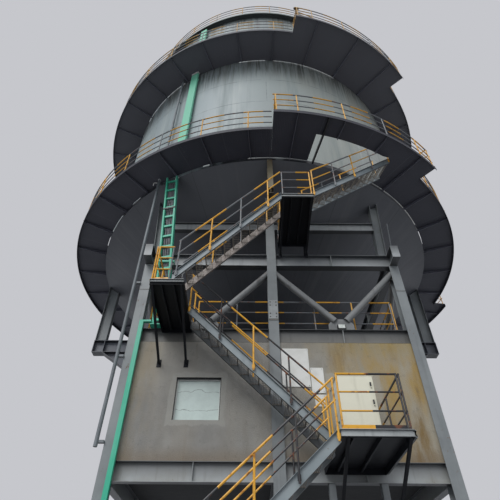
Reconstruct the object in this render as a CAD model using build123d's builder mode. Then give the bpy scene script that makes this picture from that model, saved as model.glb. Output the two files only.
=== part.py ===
from build123d import *
from math import atan2, ceil, cos, degrees, radians, sin, tan
import os

# A wet electrostatic precipitator: a round steel vessel with a conical hopper, carried about
# fifteen metres up on a frame of H sections, with walkways round it and zigzag stairs in front.
# Millimetres. Origin on the ground under the vessel's axis, front towards -Y, +Z up.

# Frame grid and its sections, each (depth, width, flange, web)
BAY = 4050
AISLE = 6600
COLUMN = (300, 300, 15, 10)
FLOOR_BEAM = (450, 200, 14, 9)
GIRDER = (490, 250, 18, 11)
SIDE_GIRDER = (600, 400, 20, 12)
SIDE_LEG_SECTION = (500, 300, 18, 12)
LEG_BEAM = (400, 200, 13, 8)
OUTRIGGER = (300, 200, 12, 8)
POST = (150, 150, 10, 7)

# Levels of the frame, from the ground up
FLOOR_TOP = 4930
ROOF_TOP = 8590
GIRDER_TOP = 11540
LEG_BEAM_TOP = 13850
OUTRIGGER_TOP = 13600

# Feet of the columns
BASE_SIDE = 520
BASE_THICK = 30
ANCHOR_PITCH = 400
ANCHOR_HOLE = 14
CAP_THICK = 20

# Small clearance left where one piece seats on another
SEAT = 0.3

# Girder ends, side brackets and upper legs
GIRDER_OVERHANG = 600
SIDE_GIRDER_END = 7840
SIDE_GIRDER_START = 3900
HAUNCH_FOOT = 9400
HAUNCH_TIP = 7350
HAUNCH_PLATE = 16
LEG_SIDE = 4250
LEG_FRONT = 5900
SIDE_LEG = 7600
STUB_LEG = 7800
OUTRIGGER_END = 8000

# Braces between the room's roof and the girders
BRACE_RADIUS = 105
BRACE_WALL = 8
GUSSET_THICK = 20
GUSSET_WIDTH = 760
GUSSET_HEIGHT = 420

# The closed room between the columns
WALL = 190
SLAB = 80
ROOF_PLATE = 50
DECK_BEARING = 50
WINDOW_WIDTH = 1200
WINDOW_HEIGHT = 1150
WINDOW_SILL = 5900
WINDOW_X = 2065
WINDOW_Y = 3300
WINDOW_SET = 60
FRAME_WIDTH = 42
FRAME_DEPTH = 50
PANE = 12
DOOR_X = -2065
DOORWAY_WIDTH = 900
DOORWAY_HEIGHT = 2050
DOOR_LEAF = 45

# The vessel
VESSEL_RADIUS = 7920
VESSEL_WALL = 16
VESSEL_FOOT = 15340
STRAKE_SEAM = 23600
HOPPER_SLOPE = 35
OUTLET_RADIUS = 450
OUTLET_LENGTH = 620
NOZZLE_RADIUS = 1450
NOZZLE_HEIGHT = 21200
NOZZLE_END = 9300
NOZZLE_FLANGE = 1570
NOZZLE_FLANGE_THICK = 25

# Walkways: level of the underside, and their build-up
LOWER_WALK = 15340
UPPER_WALK = 24090
TOP_WALK = 30390
WALK_DEPTH = 160
WALK_PLATE = 10
RIM_PLATE = 12
WALK_INNER = 7945
LOWER_RADIUS = 9250
LOWER_WIDE = 9940
UPPER_RADIUS = 9470
UPPER_WIDE = 10250
ROOF_RADIUS = 8230
ROOF_RISE = 180
ROOF_FLAT = 7500
PANEL_SPAN = 24
SEAM = 2
BRACKET_SPAN = 11.25
BRACKET_THICK = 12
BRACKET_TIP = 70

# Handrails
RAIL_TUBE = 42
RAIL_TOP = 1200
RAIL_MIDDLE = 800
RAIL_LOWER = 400
STAIR_RAIL_TOP = 1050
STAIR_RAIL_MIDDLE = 580
RAIL_INSET = 45
TOE_HEIGHT = 100
TOE_THICK = 6
POST_SPAN = 12
POST_PITCH = 1350

# Stairs
STAIR_WIDTH = 850
STRINGER_FLANGE = 60
STRINGER_WEB = 8
STRINGER_BELOW = 230
STRINGER_ABOVE = 50
STRINGER_FOOT = 60
RISER = 270
TREAD_LAP = 30
TREAD_THICK = 40
TREAD_NOSE = 20
LANDING_DEPTH = 150
LANDING_CHANNEL = 70
LANDING_PLATE = 8
KNEE_BAR = 60
KNEE_PLATE = 20
LANDING_BACK = AISLE + FLOOR_BEAM[1] / 2
LANE_OUT = -8625
LANE_IN = -7450
LOW_LANDING = 4800
MID_LANDING = ROOF_TOP
HIGH_LANDING = 12100
LOW_SPAN = (1050, 2480)
MID_SPAN = (-3270, -2400)
HIGH_SPAN = (250, 1250)
LOW_FRONT = 9050
MID_FRONT = 8950
HIGH_FRONT = 8900

# Cable trays, and the cable ladder from the middle landing to the vessel
TRAY_WIDTH = 120
TRAY_DEPTH = 100
TRAY_X = -3955
TRAY_BEARING = -117
SHELL_TRAY_WIDTH = 400
LADDER_WIDTH = 400
LADDER_STILE = (60, 120)
LADDER_RUNG = (80, 45)
LADDER_RUNGS = 14
LADDER_FOOT = (-3356, -6770, ROOF_TOP + 20)
LADDER_HEAD = (-3800, -7080, LOWER_WALK - 30)
LADDER_SHOE = 150

# Equipment cabinet on the low landing
CABINET_LEFT = 1450
CABINET_WIDTH = 900
CABINET_DEPTH = 760
CABINET_HEIGHT = 1900
CABINET_SHEET = 25
CABINET_PLINTH = 100
DOOR_THICK = 35
DOOR_GAP = 5
HANDLE = (30, 35, 160)
HANDLE_INSET = 90
HANDLE_LEVELS = (1150, 1600)
HINGE_OFFSET = 12
HINGE_RADIUS = 10
HINGE_HEIGHT = 40
HINGE_LEAF = 40
HINGE_LEVELS = (250, 950, 1700)
PIN_RADIUS = 5


def polar(radius, bearing):
    """Plan point at a radius and a bearing in degrees from +X."""
    return (radius * cos(radians(bearing)), radius * sin(radians(bearing)))


def hopper_height(radius):
    """Level of the hopper's outer face at a radius from the axis."""
    return VESSEL_FOOT - (VESSEL_RADIUS - radius) * tan(radians(HOPPER_SLOPE))


def save(piece, name):
    """Names the finished piece and writes its file."""
    piece.part.label = name
    export_step(piece.part, f"parts/{name}.step")


def h_member(start, end, section, across):
    """A straight H section from start to end, its flanges lying along across."""
    depth, width, flange, web = section
    run = Vector(*end) - Vector(*start)
    side = (width - web) / 2
    with BuildSketch(Plane(origin=start, x_dir=across, z_dir=run)) as profile:
        Rectangle(width, depth)
        with Locations((-(web + side) / 2, 0), ((web + side) / 2, 0)):
            Rectangle(side, depth - 2 * flange, mode=Mode.SUBTRACT)
    extrude(profile.sketch, amount=run.length)


def bar(start, end, width, depth, across, mode=Mode.ADD):
    """A straight rectangular bar from start to end, its width lying along across."""
    run = Vector(*end) - Vector(*start)
    with BuildSketch(Plane(origin=start, x_dir=across, z_dir=run)) as profile:
        Rectangle(width, depth)
    extrude(profile.sketch, amount=run.length, mode=mode)


def block(low, high, mode=Mode.ADD):
    """A box between two opposite corners."""
    size = [abs(b - a) for a, b in zip(low, high)]
    middle = tuple((a + b) / 2 for a, b in zip(low, high))
    with Locations(middle):
        Box(*size, mode=mode)


def plate(points, plane, thick, mode=Mode.ADD):
    """A flat plate whose outline is drawn on the plane, half its thickness to either side."""
    with BuildSketch(plane) as outline:
        with BuildLine():
            Polyline(*points, close=True)
        make_face()
    extrude(outline.sketch, amount=thick / 2, both=True, mode=mode)


def sector(level, height, inner, outer, start, end, mode=Mode.ADD):
    """A slab of a flat ring between two radii and two bearings."""
    with BuildSketch(Plane.XY.offset(level)) as area:
        with BuildLine():
            CenterArc((0, 0), outer, start, end - start)
            CenterArc((0, 0), inner, start, end - start)
            Line(polar(inner, start), polar(outer, start))
            Line(polar(inner, end), polar(outer, end))
        make_face()
    extrude(area.sketch, amount=height, mode=mode)


def turned(profile):
    """A ring or cone turned about the axis from an outline of radius and level."""
    with BuildSketch(Plane.XZ) as outline:
        with BuildLine():
            Polyline(*profile, close=True)
        make_face()
    revolve(outline.sketch, axis=Axis.Z)


def above_hopper():
    """Cuts away what would stand inside the hopper, leaving the seat clearance."""
    edge = VESSEL_RADIUS + 400
    with BuildSketch(Plane.XZ) as outline:
        with BuildLine():
            Polyline(
                (0, hopper_height(0) - SEAT),
                (edge, hopper_height(edge) - SEAT),
                (edge, UPPER_WALK),
                (0, UPPER_WALK),
                close=True,
            )
        make_face()
    revolve(outline.sketch, axis=Axis.Z, mode=Mode.SUBTRACT)


# Columns: H sections on base plates with anchor holes
def column(x, y, top, across):
    """One column with its base plate, ending at the level top."""
    h_member((x, y, BASE_THICK), (x, y, top), COLUMN, across)
    with Locations((x, y, BASE_THICK / 2)):
        Box(BASE_SIDE, BASE_SIDE, BASE_THICK)
    with Locations((x, y, BASE_THICK)):
        with GridLocations(ANCHOR_PITCH, ANCHOR_PITCH, 2, 2):
            Hole(ANCHOR_HOLE, depth=BASE_THICK)


def column_row(y):
    """The corner columns of a row under their girders, and the middle one up to the hopper."""
    under_girder = GIRDER_TOP - GIRDER[0] - SEAT
    for x in (-BAY, BAY):
        column(x, y, under_girder, (1, 0, 0))
    column(0, y, hopper_height(AISLE - COLUMN[0]) + COLUMN[0], (1, 0, 0))
    above_hopper()


with BuildPart() as front_columns:
    column_row(-AISLE)
save(front_columns, "front_columns")

with BuildPart() as rear_columns:
    column_row(AISLE)
save(rear_columns, "rear_columns")

with BuildPart() as side_columns:
    for x in (-BAY, BAY):
        column(x, 0, GIRDER_TOP - GIRDER[0] - SEAT, (0, 1, 0))
save(side_columns, "side_columns")

with BuildPart() as centre_column:
    column(0, 0, FLOOR_TOP - FLOOR_BEAM[0], (1, 0, 0))
save(centre_column, "centre_column")


# Beams of the room's floor and roof: a grid framed into the columns
def beam_grid(top):
    """Beams between the columns with their upper faces at one level."""
    level = top - FLOOR_BEAM[0] / 2
    web = COLUMN[3] / 2 + SEAT
    face = COLUMN[0] / 2 + SEAT
    tip = FLOOR_BEAM[1] / 2 + SEAT
    for side in (-1, 1):
        for y in (-AISLE, AISLE):
            h_member((side * web, y, level), (side * (BAY - web), y, level), FLOOR_BEAM, (0, 1, 0))
        for x in (-BAY, BAY):
            h_member((x, side * web, level), (x, side * (AISLE - face), level), FLOOR_BEAM, (1, 0, 0))
        h_member((side * tip, 0, level), (side * (BAY - face), 0, level), FLOOR_BEAM, (0, 1, 0))
    h_member((0, face - AISLE, level), (0, AISLE - face, level), FLOOR_BEAM, (1, 0, 0))


with BuildPart() as floor_beams:
    beam_grid(FLOOR_TOP)
save(floor_beams, "floor_beams")

with BuildPart() as roof_beams:
    beam_grid(ROOF_TOP)
save(roof_beams, "roof_beams")

# Girders on top of the columns, closed at their ends, and the cross beams between them
with BuildPart() as girders:
    girder_level = GIRDER_TOP - GIRDER[0] / 2
    girder_end = AISLE + GIRDER_OVERHANG
    for x in (-BAY, BAY):
        h_member((x, -girder_end, girder_level), (x, girder_end, girder_level), GIRDER, (1, 0, 0))
        for y in (-girder_end, -AISLE, 0, AISLE, girder_end):
            block(
                (x - GIRDER[1] / 2, y - CAP_THICK / 2, GIRDER_TOP - GIRDER[0]),
                (x + GIRDER[1] / 2, y + CAP_THICK / 2, GIRDER_TOP),
            )
save(girders, "girders")

with BuildPart() as cross_beams:
    for y in (-AISLE, AISLE):
        for side in (-1, 1):
            h_member(
                (side * (COLUMN[3] / 2 + SEAT), y, girder_level),
                (side * (BAY - GIRDER[1] / 2 - SEAT), y, girder_level),
                GIRDER,
                (0, 1, 0),
            )
save(cross_beams, "cross_beams")

# Side girders: cantilevers on tapered haunches that carry the side legs
with BuildPart() as side_girders:
    foot = GIRDER_TOP + SEAT
    wall_side = BAY + COLUMN[0] / 2 + SEAT
    for side in (-1, 1):
        level = foot + SIDE_GIRDER[0] / 2
        h_member(
            (side * SIDE_GIRDER_START, 0, level), (side * SIDE_GIRDER_END, 0, level), SIDE_GIRDER, (0, 1, 0)
        )
        plate(
            [(side * wall_side, HAUNCH_FOOT), (side * HAUNCH_TIP, foot), (side * wall_side, foot)],
            Plane.XZ,
            HAUNCH_PLATE,
        )
        slope = (foot - HAUNCH_FOOT) / (HAUNCH_TIP - wall_side)
        drop = HAUNCH_PLATE * (1 + slope**2) ** 0.5
        plate(
            [
                (side * wall_side, HAUNCH_FOOT - drop),
                (side * (HAUNCH_TIP + drop / slope), foot),
                (side * HAUNCH_TIP, foot),
                (side * wall_side, HAUNCH_FOOT),
            ],
            Plane.XZ,
            SIDE_GIRDER[1],
        )
        for x in (SIDE_GIRDER_END, SIDE_LEG - SIDE_LEG_SECTION[0] / 2 + CAP_THICK / 2):
            block(
                (side * x - CAP_THICK / 2, -SIDE_GIRDER[1] / 2, foot),
                (side * x + CAP_THICK / 2, SIDE_GIRDER[1] / 2, foot + SIDE_GIRDER[0]),
            )
save(side_girders, "side_girders")

# Legs from the girders up to the hopper
LEG_LEAN = LEG_SIDE - BAY
leg_top = hopper_height((LEG_SIDE**2 + LEG_FRONT**2) ** 0.5)


def leg_line(side_x, side_y):
    """Foot and head of a corner leg, which leans outwards a little."""
    reach = COLUMN[0]
    lean = LEG_LEAN / (leg_top - GIRDER_TOP)
    foot = (side_x * (BAY - lean * reach), side_y * LEG_FRONT, GIRDER_TOP - reach)
    head = (side_x * (LEG_SIDE + lean * reach), side_y * LEG_FRONT, leg_top + reach)
    return foot, head


with BuildPart() as upper_legs:
    for side_x in (-1, 1):
        for side_y in (-1, 1):
            foot, head = leg_line(side_x, side_y)
            h_member(foot, head, COLUMN, (0, 1, 0))
    block((-7000, -7000, GIRDER_TOP - 1000), (7000, 7000, GIRDER_TOP + SEAT), mode=Mode.SUBTRACT)
    for side_x in (-1, 1):
        side_foot = GIRDER_TOP + SIDE_GIRDER[0] + 2 * SEAT
        head = (side_x * SIDE_LEG, 0, VESSEL_FOOT)
        h_member((side_x * SIDE_LEG, 0, side_foot), head, SIDE_LEG_SECTION, (0, 1, 0))
    above_hopper()
save(upper_legs, "upper_legs")

with BuildPart() as leg_beams:
    level = LEG_BEAM_TOP - LEG_BEAM[0] / 2
    for side_y in (-1, 1):
        y = side_y * (LEG_FRONT + LEG_BEAM[1] / 4)
        h_member((-LEG_SIDE, y, level), (LEG_SIDE, y, level), LEG_BEAM, (0, 1, 0))
    for side_x in (-1, 1):
        for side_y in (-1, 1):
            foot, head = leg_line(side_x, side_y)
            width = COLUMN[0] + 2 * SEAT
            bar(foot, head, width * 2, width, (0, 1, 0), mode=Mode.SUBTRACT)
    for side_x in (-1, 1):
        block(
            (side_x * (LEG_SIDE + 400) - 400, -7000, level - 400),
            (side_x * (LEG_SIDE + 400) + 400, 7000, level + 400),
            mode=Mode.SUBTRACT,
        )
save(leg_beams, "leg_beams")

# Short outriggers from the middle columns, with a stub under the vessel's rim
with BuildPart() as outriggers:
    level = OUTRIGGER_TOP - OUTRIGGER[0] / 2
    for side_y in (-1, 1):
        face = side_y * (AISLE + COLUMN[0] / 2 + SEAT)
        h_member((0, face, level), (0, side_y * OUTRIGGER_END, level), OUTRIGGER, (1, 0, 0))
        h_member(
            (0, side_y * STUB_LEG, OUTRIGGER_TOP), (0, side_y * STUB_LEG, VESSEL_FOOT), OUTRIGGER, (1, 0, 0)
        )
    above_hopper()
save(outriggers, "outriggers")


# Braces: round tubes slotted over gussets at mid bay, between the roof beams and the girders
def brace_pair(plane, half_bay, face_gap, level):
    """Two tubes of a bay drawn on its upright plane, x along the bay from its middle."""
    top = GIRDER_TOP - GIRDER[0] - SEAT
    low = level + 170
    end = half_bay - face_gap
    gusset = [
        (-GUSSET_WIDTH / 2, level + SEAT),
        (GUSSET_WIDTH / 2, level + SEAT),
        (GUSSET_WIDTH / 2, level + GUSSET_HEIGHT * 0.55),
        (GUSSET_WIDTH * 0.3, level + GUSSET_HEIGHT),
        (-GUSSET_WIDTH * 0.3, level + GUSSET_HEIGHT),
        (-GUSSET_WIDTH / 2, level + GUSSET_HEIGHT * 0.55),
    ]
    for side in (-1, 1):
        start = Vector(side * half_bay, top - BRACE_RADIUS * 1.4)
        finish = Vector(0, low)
        run = (finish - start).normalized()
        across = Vector(-run.Y, run.X) * BRACE_RADIUS
        stop = finish - run * GUSSET_WIDTH * 0.32
        clip_start = start + run * ((half_bay - end) / abs(run.X) + BRACE_RADIUS * abs(run.Y / run.X))
        origin = plane.from_local_coords((clip_start.X, clip_start.Y, 0))
        tip = plane.from_local_coords((stop.X, stop.Y, 0))
        with BuildSketch(Plane(origin=origin, z_dir=tip - origin)) as ring:
            Circle(BRACE_RADIUS)
            Circle(BRACE_RADIUS - BRACE_WALL, mode=Mode.SUBTRACT)
        extrude(ring.sketch, amount=(tip - origin).length)
        end_plate = [
            (side * end, clip_start.Y - GUSSET_WIDTH * 0.45),
            (side * end, clip_start.Y + GUSSET_WIDTH * 0.25),
            (clip_start.X + run.X * 180, clip_start.Y + run.Y * 180 + BRACE_RADIUS * 0.6),
            (clip_start.X + run.X * 180, clip_start.Y + run.Y * 180 - BRACE_RADIUS * 0.6),
        ]
        plate(end_plate, plane, GUSSET_THICK)
    with BuildSketch(plane) as slot:
        with BuildLine():
            Polyline(*gusset, close=True)
        make_face()
        offset(amount=SEAT)
    extrude(slot.sketch, amount=GUSSET_THICK / 2 + SEAT, both=True, mode=Mode.SUBTRACT)
    plate(gusset, plane, GUSSET_THICK)


with BuildPart() as cross_pair:
    cross_plane = Plane(origin=(0, 0, 0), x_dir=(1, 0, 0), z_dir=(0, -1, 0))
    brace_pair(cross_plane, BAY / 2, COLUMN[3] / 2 + SEAT, ROOF_TOP)

with BuildPart() as long_pair:
    long_plane = Plane(origin=(0, 0, 0), x_dir=(0, 1, 0), z_dir=(1, 0, 0))
    brace_pair(long_plane, AISLE / 2, COLUMN[0] / 2 + SEAT, ROOF_TOP)

with BuildPart() as frame_braces:
    with GridLocations(BAY, 2 * AISLE, 2, 2):
        add(cross_pair.part)
    with GridLocations(2 * BAY, AISLE, 2, 2):
        add(long_pair.part)
save(frame_braces, "frame_braces")


# Room: rendered walls between the columns, windows, floor slab and roof deck
WALL_FOOT = FLOOR_TOP + SEAT
WALL_HEAD = ROOF_TOP - FLOOR_BEAM[0] - SEAT


def cross_wall(y, window_side):
    """The two wall panels of a row of columns, with a window in one of them."""
    gap = COLUMN[3] / 2 + SEAT
    for side in (-1, 1):
        low, high = sorted((side * gap, side * (BAY - gap)))
        block((low, y - WALL / 2, WALL_FOOT), (high, y + WALL / 2, WALL_HEAD))
    x = window_side * WINDOW_X
    block(
        (x - WINDOW_WIDTH / 2, y - WALL, WINDOW_SILL),
        (x + WINDOW_WIDTH / 2, y + WALL, WINDOW_SILL + WINDOW_HEIGHT),
        mode=Mode.SUBTRACT,
    )


def long_wall(x, window_side):
    """The two wall panels along a side of the room, with a window in one of them."""
    near = COLUMN[3] / 2 + SEAT
    far = AISLE - COLUMN[0] / 2 - SEAT
    for side in (-1, 1):
        low, high = sorted((side * near, side * far))
        block((x - WALL / 2, low, WALL_FOOT), (x + WALL / 2, high, WALL_HEAD))
    y = window_side * WINDOW_Y
    block(
        (x - WALL, y - WINDOW_WIDTH / 2, WINDOW_SILL),
        (x + WALL, y + WINDOW_WIDTH / 2, WINDOW_SILL + WINDOW_HEIGHT),
        mode=Mode.SUBTRACT,
    )


with BuildPart() as front_wall:
    cross_wall(-AISLE, -1)
save(front_wall, "front_wall")

with BuildPart() as rear_wall:
    cross_wall(AISLE, 1)
    doorway_foot = FLOOR_TOP + SLAB
    doorway_head = doorway_foot + DOORWAY_HEIGHT
    doorway_sides = (DOOR_X - DOORWAY_WIDTH / 2, DOOR_X + DOORWAY_WIDTH / 2)
    block(
        (doorway_sides[0], AISLE - WALL, doorway_foot), (doorway_sides[1], AISLE + WALL, doorway_head),
        mode=Mode.SUBTRACT,
    )
save(rear_wall, "rear_wall")

with BuildPart() as rear_door:
    block(
        (doorway_sides[0] + SEAT, AISLE - DOOR_LEAF / 2, doorway_foot + SEAT),
        (doorway_sides[1] - SEAT, AISLE + DOOR_LEAF / 2, doorway_head - SEAT),
    )
    pull = doorway_foot + 1000
    block(
        (doorway_sides[1] - 130, AISLE, pull), (doorway_sides[1] - 100, AISLE + DOOR_LEAF / 2 + 40, pull + 180)
    )
save(rear_door, "rear_door")

with BuildPart() as left_wall:
    long_wall(-BAY, 1)
save(left_wall, "left_wall")

with BuildPart() as right_wall:
    long_wall(BAY, -1)
save(right_wall, "right_wall")

# Each window as (centre, direction along the wall), set back towards the room
WINDOWS = [
    ((-WINDOW_X, WINDOW_SET - AISLE), (1, 0, 0)),
    ((WINDOW_X, AISLE - WINDOW_SET), (1, 0, 0)),
    ((WINDOW_SET - BAY, WINDOW_Y), (0, 1, 0)),
    ((BAY - WINDOW_SET, -WINDOW_Y), (0, 1, 0)),
]


def window_plane(place, along):
    """The upright plane through a window's middle."""
    x, y = place
    centre = (x, y, WINDOW_SILL + WINDOW_HEIGHT / 2)
    return Plane(origin=centre, x_dir=along, z_dir=Vector(*along).cross(Vector(0, 0, 1)))


with BuildPart() as window_frames:
    for place, along in WINDOWS:
        with BuildSketch(window_plane(place, along)) as outline:
            Rectangle(WINDOW_WIDTH - 2 * SEAT, WINDOW_HEIGHT - 2 * SEAT)
            Rectangle(WINDOW_WIDTH - 2 * FRAME_WIDTH, WINDOW_HEIGHT - 2 * FRAME_WIDTH, mode=Mode.SUBTRACT)
        extrude(outline.sketch, amount=FRAME_DEPTH / 2, both=True)
save(window_frames, "window_frames")

with BuildPart() as window_panes:
    for place, along in WINDOWS:
        inset = 2 * FRAME_WIDTH + 2 * SEAT
        with BuildSketch(window_plane(place, along)) as outline:
            Rectangle(WINDOW_WIDTH - inset, WINDOW_HEIGHT - inset)
        extrude(outline.sketch, amount=PANE / 2, both=True)
save(window_panes, "window_panes")


def column_notches(low, high):
    """Cuts the room's floor or roof plate clear of the eight outer columns."""
    half = COLUMN[0] / 2 + SEAT
    for x in (-BAY, 0, BAY):
        for y in (-AISLE, 0, AISLE):
            if (x, y) != (0, 0):
                block((x - half, y - half, low), (x + half, y + half, high), mode=Mode.SUBTRACT)


with BuildPart() as floor_slab:
    half_x = BAY - WALL / 2 - SEAT
    half_y = AISLE - WALL / 2 - SEAT
    block((-half_x, -half_y, FLOOR_TOP), (half_x, half_y, FLOOR_TOP + SLAB))
    column_notches(FLOOR_TOP - 1, FLOOR_TOP + SLAB + 1)
save(floor_slab, "floor_slab")

with BuildPart() as roof_deck:
    half_x = BAY - DECK_BEARING
    half_y = AISLE - DECK_BEARING
    block((-half_x, -half_y, ROOF_TOP), (half_x, half_y, ROOF_TOP + ROOF_PLATE))
    column_notches(ROOF_TOP - 1, ROOF_TOP + ROOF_PLATE + 1)
save(roof_deck, "roof_deck")

# Vessel: conical hopper, two shell strakes, roof with an eave, inlet nozzle and hopper outlet
hopper_foot = hopper_height(OUTLET_RADIUS)
hopper_wall = VESSEL_WALL / cos(radians(HOPPER_SLOPE))
with BuildPart() as hopper:
    turned(
        [
            (OUTLET_RADIUS, hopper_foot),
            (VESSEL_RADIUS, VESSEL_FOOT),
            (VESSEL_RADIUS - VESSEL_WALL, VESSEL_FOOT),
            (OUTLET_RADIUS, hopper_foot + hopper_wall),
        ]
    )
save(hopper, "hopper")

with BuildPart() as hopper_outlet:
    bore = OUTLET_RADIUS - VESSEL_WALL
    flange_low = hopper_foot - OUTLET_LENGTH
    turned(
        [
            (bore, hopper_foot),
            (OUTLET_RADIUS + VESSEL_WALL, hopper_foot),
            (OUTLET_RADIUS + VESSEL_WALL, hopper_foot - CAP_THICK),
            (OUTLET_RADIUS, hopper_foot - CAP_THICK),
            (OUTLET_RADIUS, flange_low + CAP_THICK),
            (OUTLET_RADIUS + 95, flange_low + CAP_THICK),
            (OUTLET_RADIUS + 95, flange_low),
            (bore, flange_low),
        ]
    )
    above_hopper()
save(hopper_outlet, "hopper_outlet")


def strake(low, high):
    """A plain ring of the vessel's wall."""
    with BuildSketch(Plane.XY.offset(low)) as ring:
        Circle(VESSEL_RADIUS)
        Circle(VESSEL_RADIUS - VESSEL_WALL, mode=Mode.SUBTRACT)
    extrude(ring.sketch, amount=high - low)


with BuildPart() as lower_shell:
    strake(VESSEL_FOOT, STRAKE_SEAM)
    with BuildSketch(Plane.YZ.offset(-NOZZLE_END)) as port:
        with Locations((0, NOZZLE_HEIGHT)):
            Circle(NOZZLE_RADIUS - VESSEL_WALL)
    extrude(port.sketch, amount=NOZZLE_END, mode=Mode.SUBTRACT)
save(lower_shell, "lower_shell")

roof_under = TOP_WALK + WALK_DEPTH - WALK_PLATE
with BuildPart() as upper_shell:
    strake(STRAKE_SEAM, roof_under)
save(upper_shell, "upper_shell")

with BuildPart() as vessel_roof:
    walk_top = TOP_WALK + WALK_DEPTH
    turned(
        [
            (ROOF_RADIUS, TOP_WALK),
            (ROOF_RADIUS, walk_top),
            (ROOF_FLAT, walk_top),
            (0, walk_top + ROOF_RISE),
            (0, walk_top + ROOF_RISE - WALK_PLATE),
            (ROOF_FLAT, roof_under),
            (ROOF_RADIUS - RIM_PLATE, roof_under),
            (ROOF_RADIUS - RIM_PLATE, TOP_WALK),
        ]
    )
save(vessel_roof, "vessel_roof")

with BuildPart() as inlet_nozzle:
    with BuildSketch(Plane.YZ.offset(-NOZZLE_END)) as pipe_ring:
        with Locations((0, NOZZLE_HEIGHT)):
            Circle(NOZZLE_RADIUS)
            Circle(NOZZLE_RADIUS - VESSEL_WALL, mode=Mode.SUBTRACT)
    extrude(pipe_ring.sketch, amount=NOZZLE_END - VESSEL_RADIUS + 400)
    with BuildSketch(Plane.YZ.offset(-NOZZLE_END)) as flange_ring:
        with Locations((0, NOZZLE_HEIGHT)):
            Circle(NOZZLE_FLANGE)
            Circle(NOZZLE_RADIUS - VESSEL_WALL, mode=Mode.SUBTRACT)
    extrude(flange_ring.sketch, amount=NOZZLE_FLANGE_THICK)
    with Locations((0, 0, NOZZLE_HEIGHT)):
        Cylinder(VESSEL_RADIUS + SEAT, 4 * NOZZLE_RADIUS, mode=Mode.SUBTRACT)
save(inlet_nozzle, "inlet_nozzle")


# Walkways: each a list of stretches (outer radius, from bearing, to bearing)
LOWER_PATH = [
    (LOWER_WIDE, -89.6, -49),
    (LOWER_RADIUS, -49, 8),
    (LOWER_WIDE, 8, 49),
    (LOWER_RADIUS, 49, 270.4),
]
UPPER_PATH = [
    (UPPER_WIDE, -81.9, -43.5),
    (UPPER_RADIUS, -43.5, 12),
    (UPPER_WIDE, 12, 52),
    (UPPER_RADIUS, 52, 278.1),
]
TOP_PATH = [(ROOF_RADIUS, -80, 280)]
# Stairwell in the lower walkway: radii and bearings, and the beam across it
WELL_INNER = 7900
WELL_OUTER = 9120
WELL_START = -79.4
WELL_END = -60
WELL_BEAM = (60, 110)
WELL_BEAM_BEARING = -77.9

# Riser pipe beside the left column, and the hole for it in the lower walkway
PIPE_RADIUS = 50
PIPE_HOLE = 60
PIPE_X = -BAY - COLUMN[1] / 2 - 180
PIPE_Y = -AISLE - COLUMN[0] / 2 - 60

# Rear ladders: bearings, and the hatch in the upper walkway
LADDER_BEARING = 32
ROOF_LADDER_BEARING = 75
LADDER_CLEAR = 420
HATCH = (8020, 8900)
HATCH_HALF = 3.4


def panels(start, end):
    """Bearings that divide a stretch into panels of nearly equal span."""
    count = ceil((end - start) / PANEL_SPAN)
    step = (end - start) / count
    return [(start + i * step, start + (i + 1) * step) for i in range(count)]


def seam_angle(radius):
    """Bearing taken by half the open seam between two panels."""
    return degrees(SEAM / 2 / radius)


def ring_plan(path, inner_of, outer_of, floor_level):
    """The plan of a ring's panels, with an open seam between each two."""
    with BuildSketch(Plane.XY.offset(floor_level)) as plan:
        for outer, start, end in path:
            for low, high in panels(start, end):
                gap = seam_angle(outer)
                near = inner_of(outer)
                far = outer_of(outer)
                with BuildLine():
                    CenterArc((0, 0), far, low + gap, high - low - 2 * gap)
                    CenterArc((0, 0), near, low + gap, high - low - 2 * gap)
                    Line(polar(near, low + gap), polar(far, low + gap))
                    Line(polar(near, high - gap), polar(far, high - gap))
                make_face()
    return plan.sketch


def walkway(path, level):
    """Floor plates with a turned-down rim, one panel after another."""
    top = level + WALK_DEPTH
    floor = ring_plan(path, lambda outer: WALK_INNER, lambda outer: outer, top - WALK_PLATE)
    extrude(floor, amount=WALK_PLATE)
    rim = ring_plan(path, lambda outer: outer - RIM_PLATE, lambda outer: outer, level)
    extrude(rim, amount=WALK_DEPTH)


def bracket(outer, level):
    """One radial bracket plate along +X, deeper at the vessel than at the rim."""
    head = level + WALK_DEPTH - WALK_PLATE - SEAT
    shape = [
        (VESSEL_RADIUS + SEAT, head),
        (outer - RIM_PLATE - SEAT, head),
        (outer - RIM_PLATE - SEAT, head - BRACKET_TIP),
        (VESSEL_RADIUS + SEAT, level),
    ]
    with BuildPart() as arm:
        plate(shape, Plane.XZ, BRACKET_THICK)
    return arm.part


def brackets(path, level):
    """Radial brackets under the floor plates, evenly spaced along each stretch."""
    for outer, start, end in path:
        count = max(1, round((end - start) / BRACKET_SPAN))
        step = (end - start) / count
        turns = [Location((0, 0, 0), (0, 0, start + (i + 0.5) * step)) for i in range(count)]
        with Locations(*turns):
            add(bracket(outer, level))


def rail_posts(spots, floor):
    """Uprights of a handrail at plan points, each turned to its bearing."""
    with Locations(*[Location((x, y, floor + RAIL_TOP / 2), (0, 0, turn)) for x, y, turn in spots]):
        Box(RAIL_TUBE, RAIL_TUBE, RAIL_TOP)


def ring_rail(path, floor):
    """Handrail panels along the rim: three curved rails on uprights."""
    half = RAIL_TUBE / 2
    spots = []
    for height in (RAIL_TOP, RAIL_MIDDLE, RAIL_LOWER):
        plan = ring_plan(
            path,
            lambda outer: outer - RAIL_INSET - half,
            lambda outer: outer - RAIL_INSET + half,
            floor + height - RAIL_TUBE,
        )
        extrude(plan, amount=RAIL_TUBE)
    for outer, start, end in path:
        for low, high in panels(start, end):
            count = max(1, round((high - low) / POST_SPAN))
            for i in range(count):
                bearing = low + (i + 0.5) * (high - low) / count
                spots.append((*polar(outer - RAIL_INSET, bearing), bearing))
    rail_posts(spots, floor)


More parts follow.
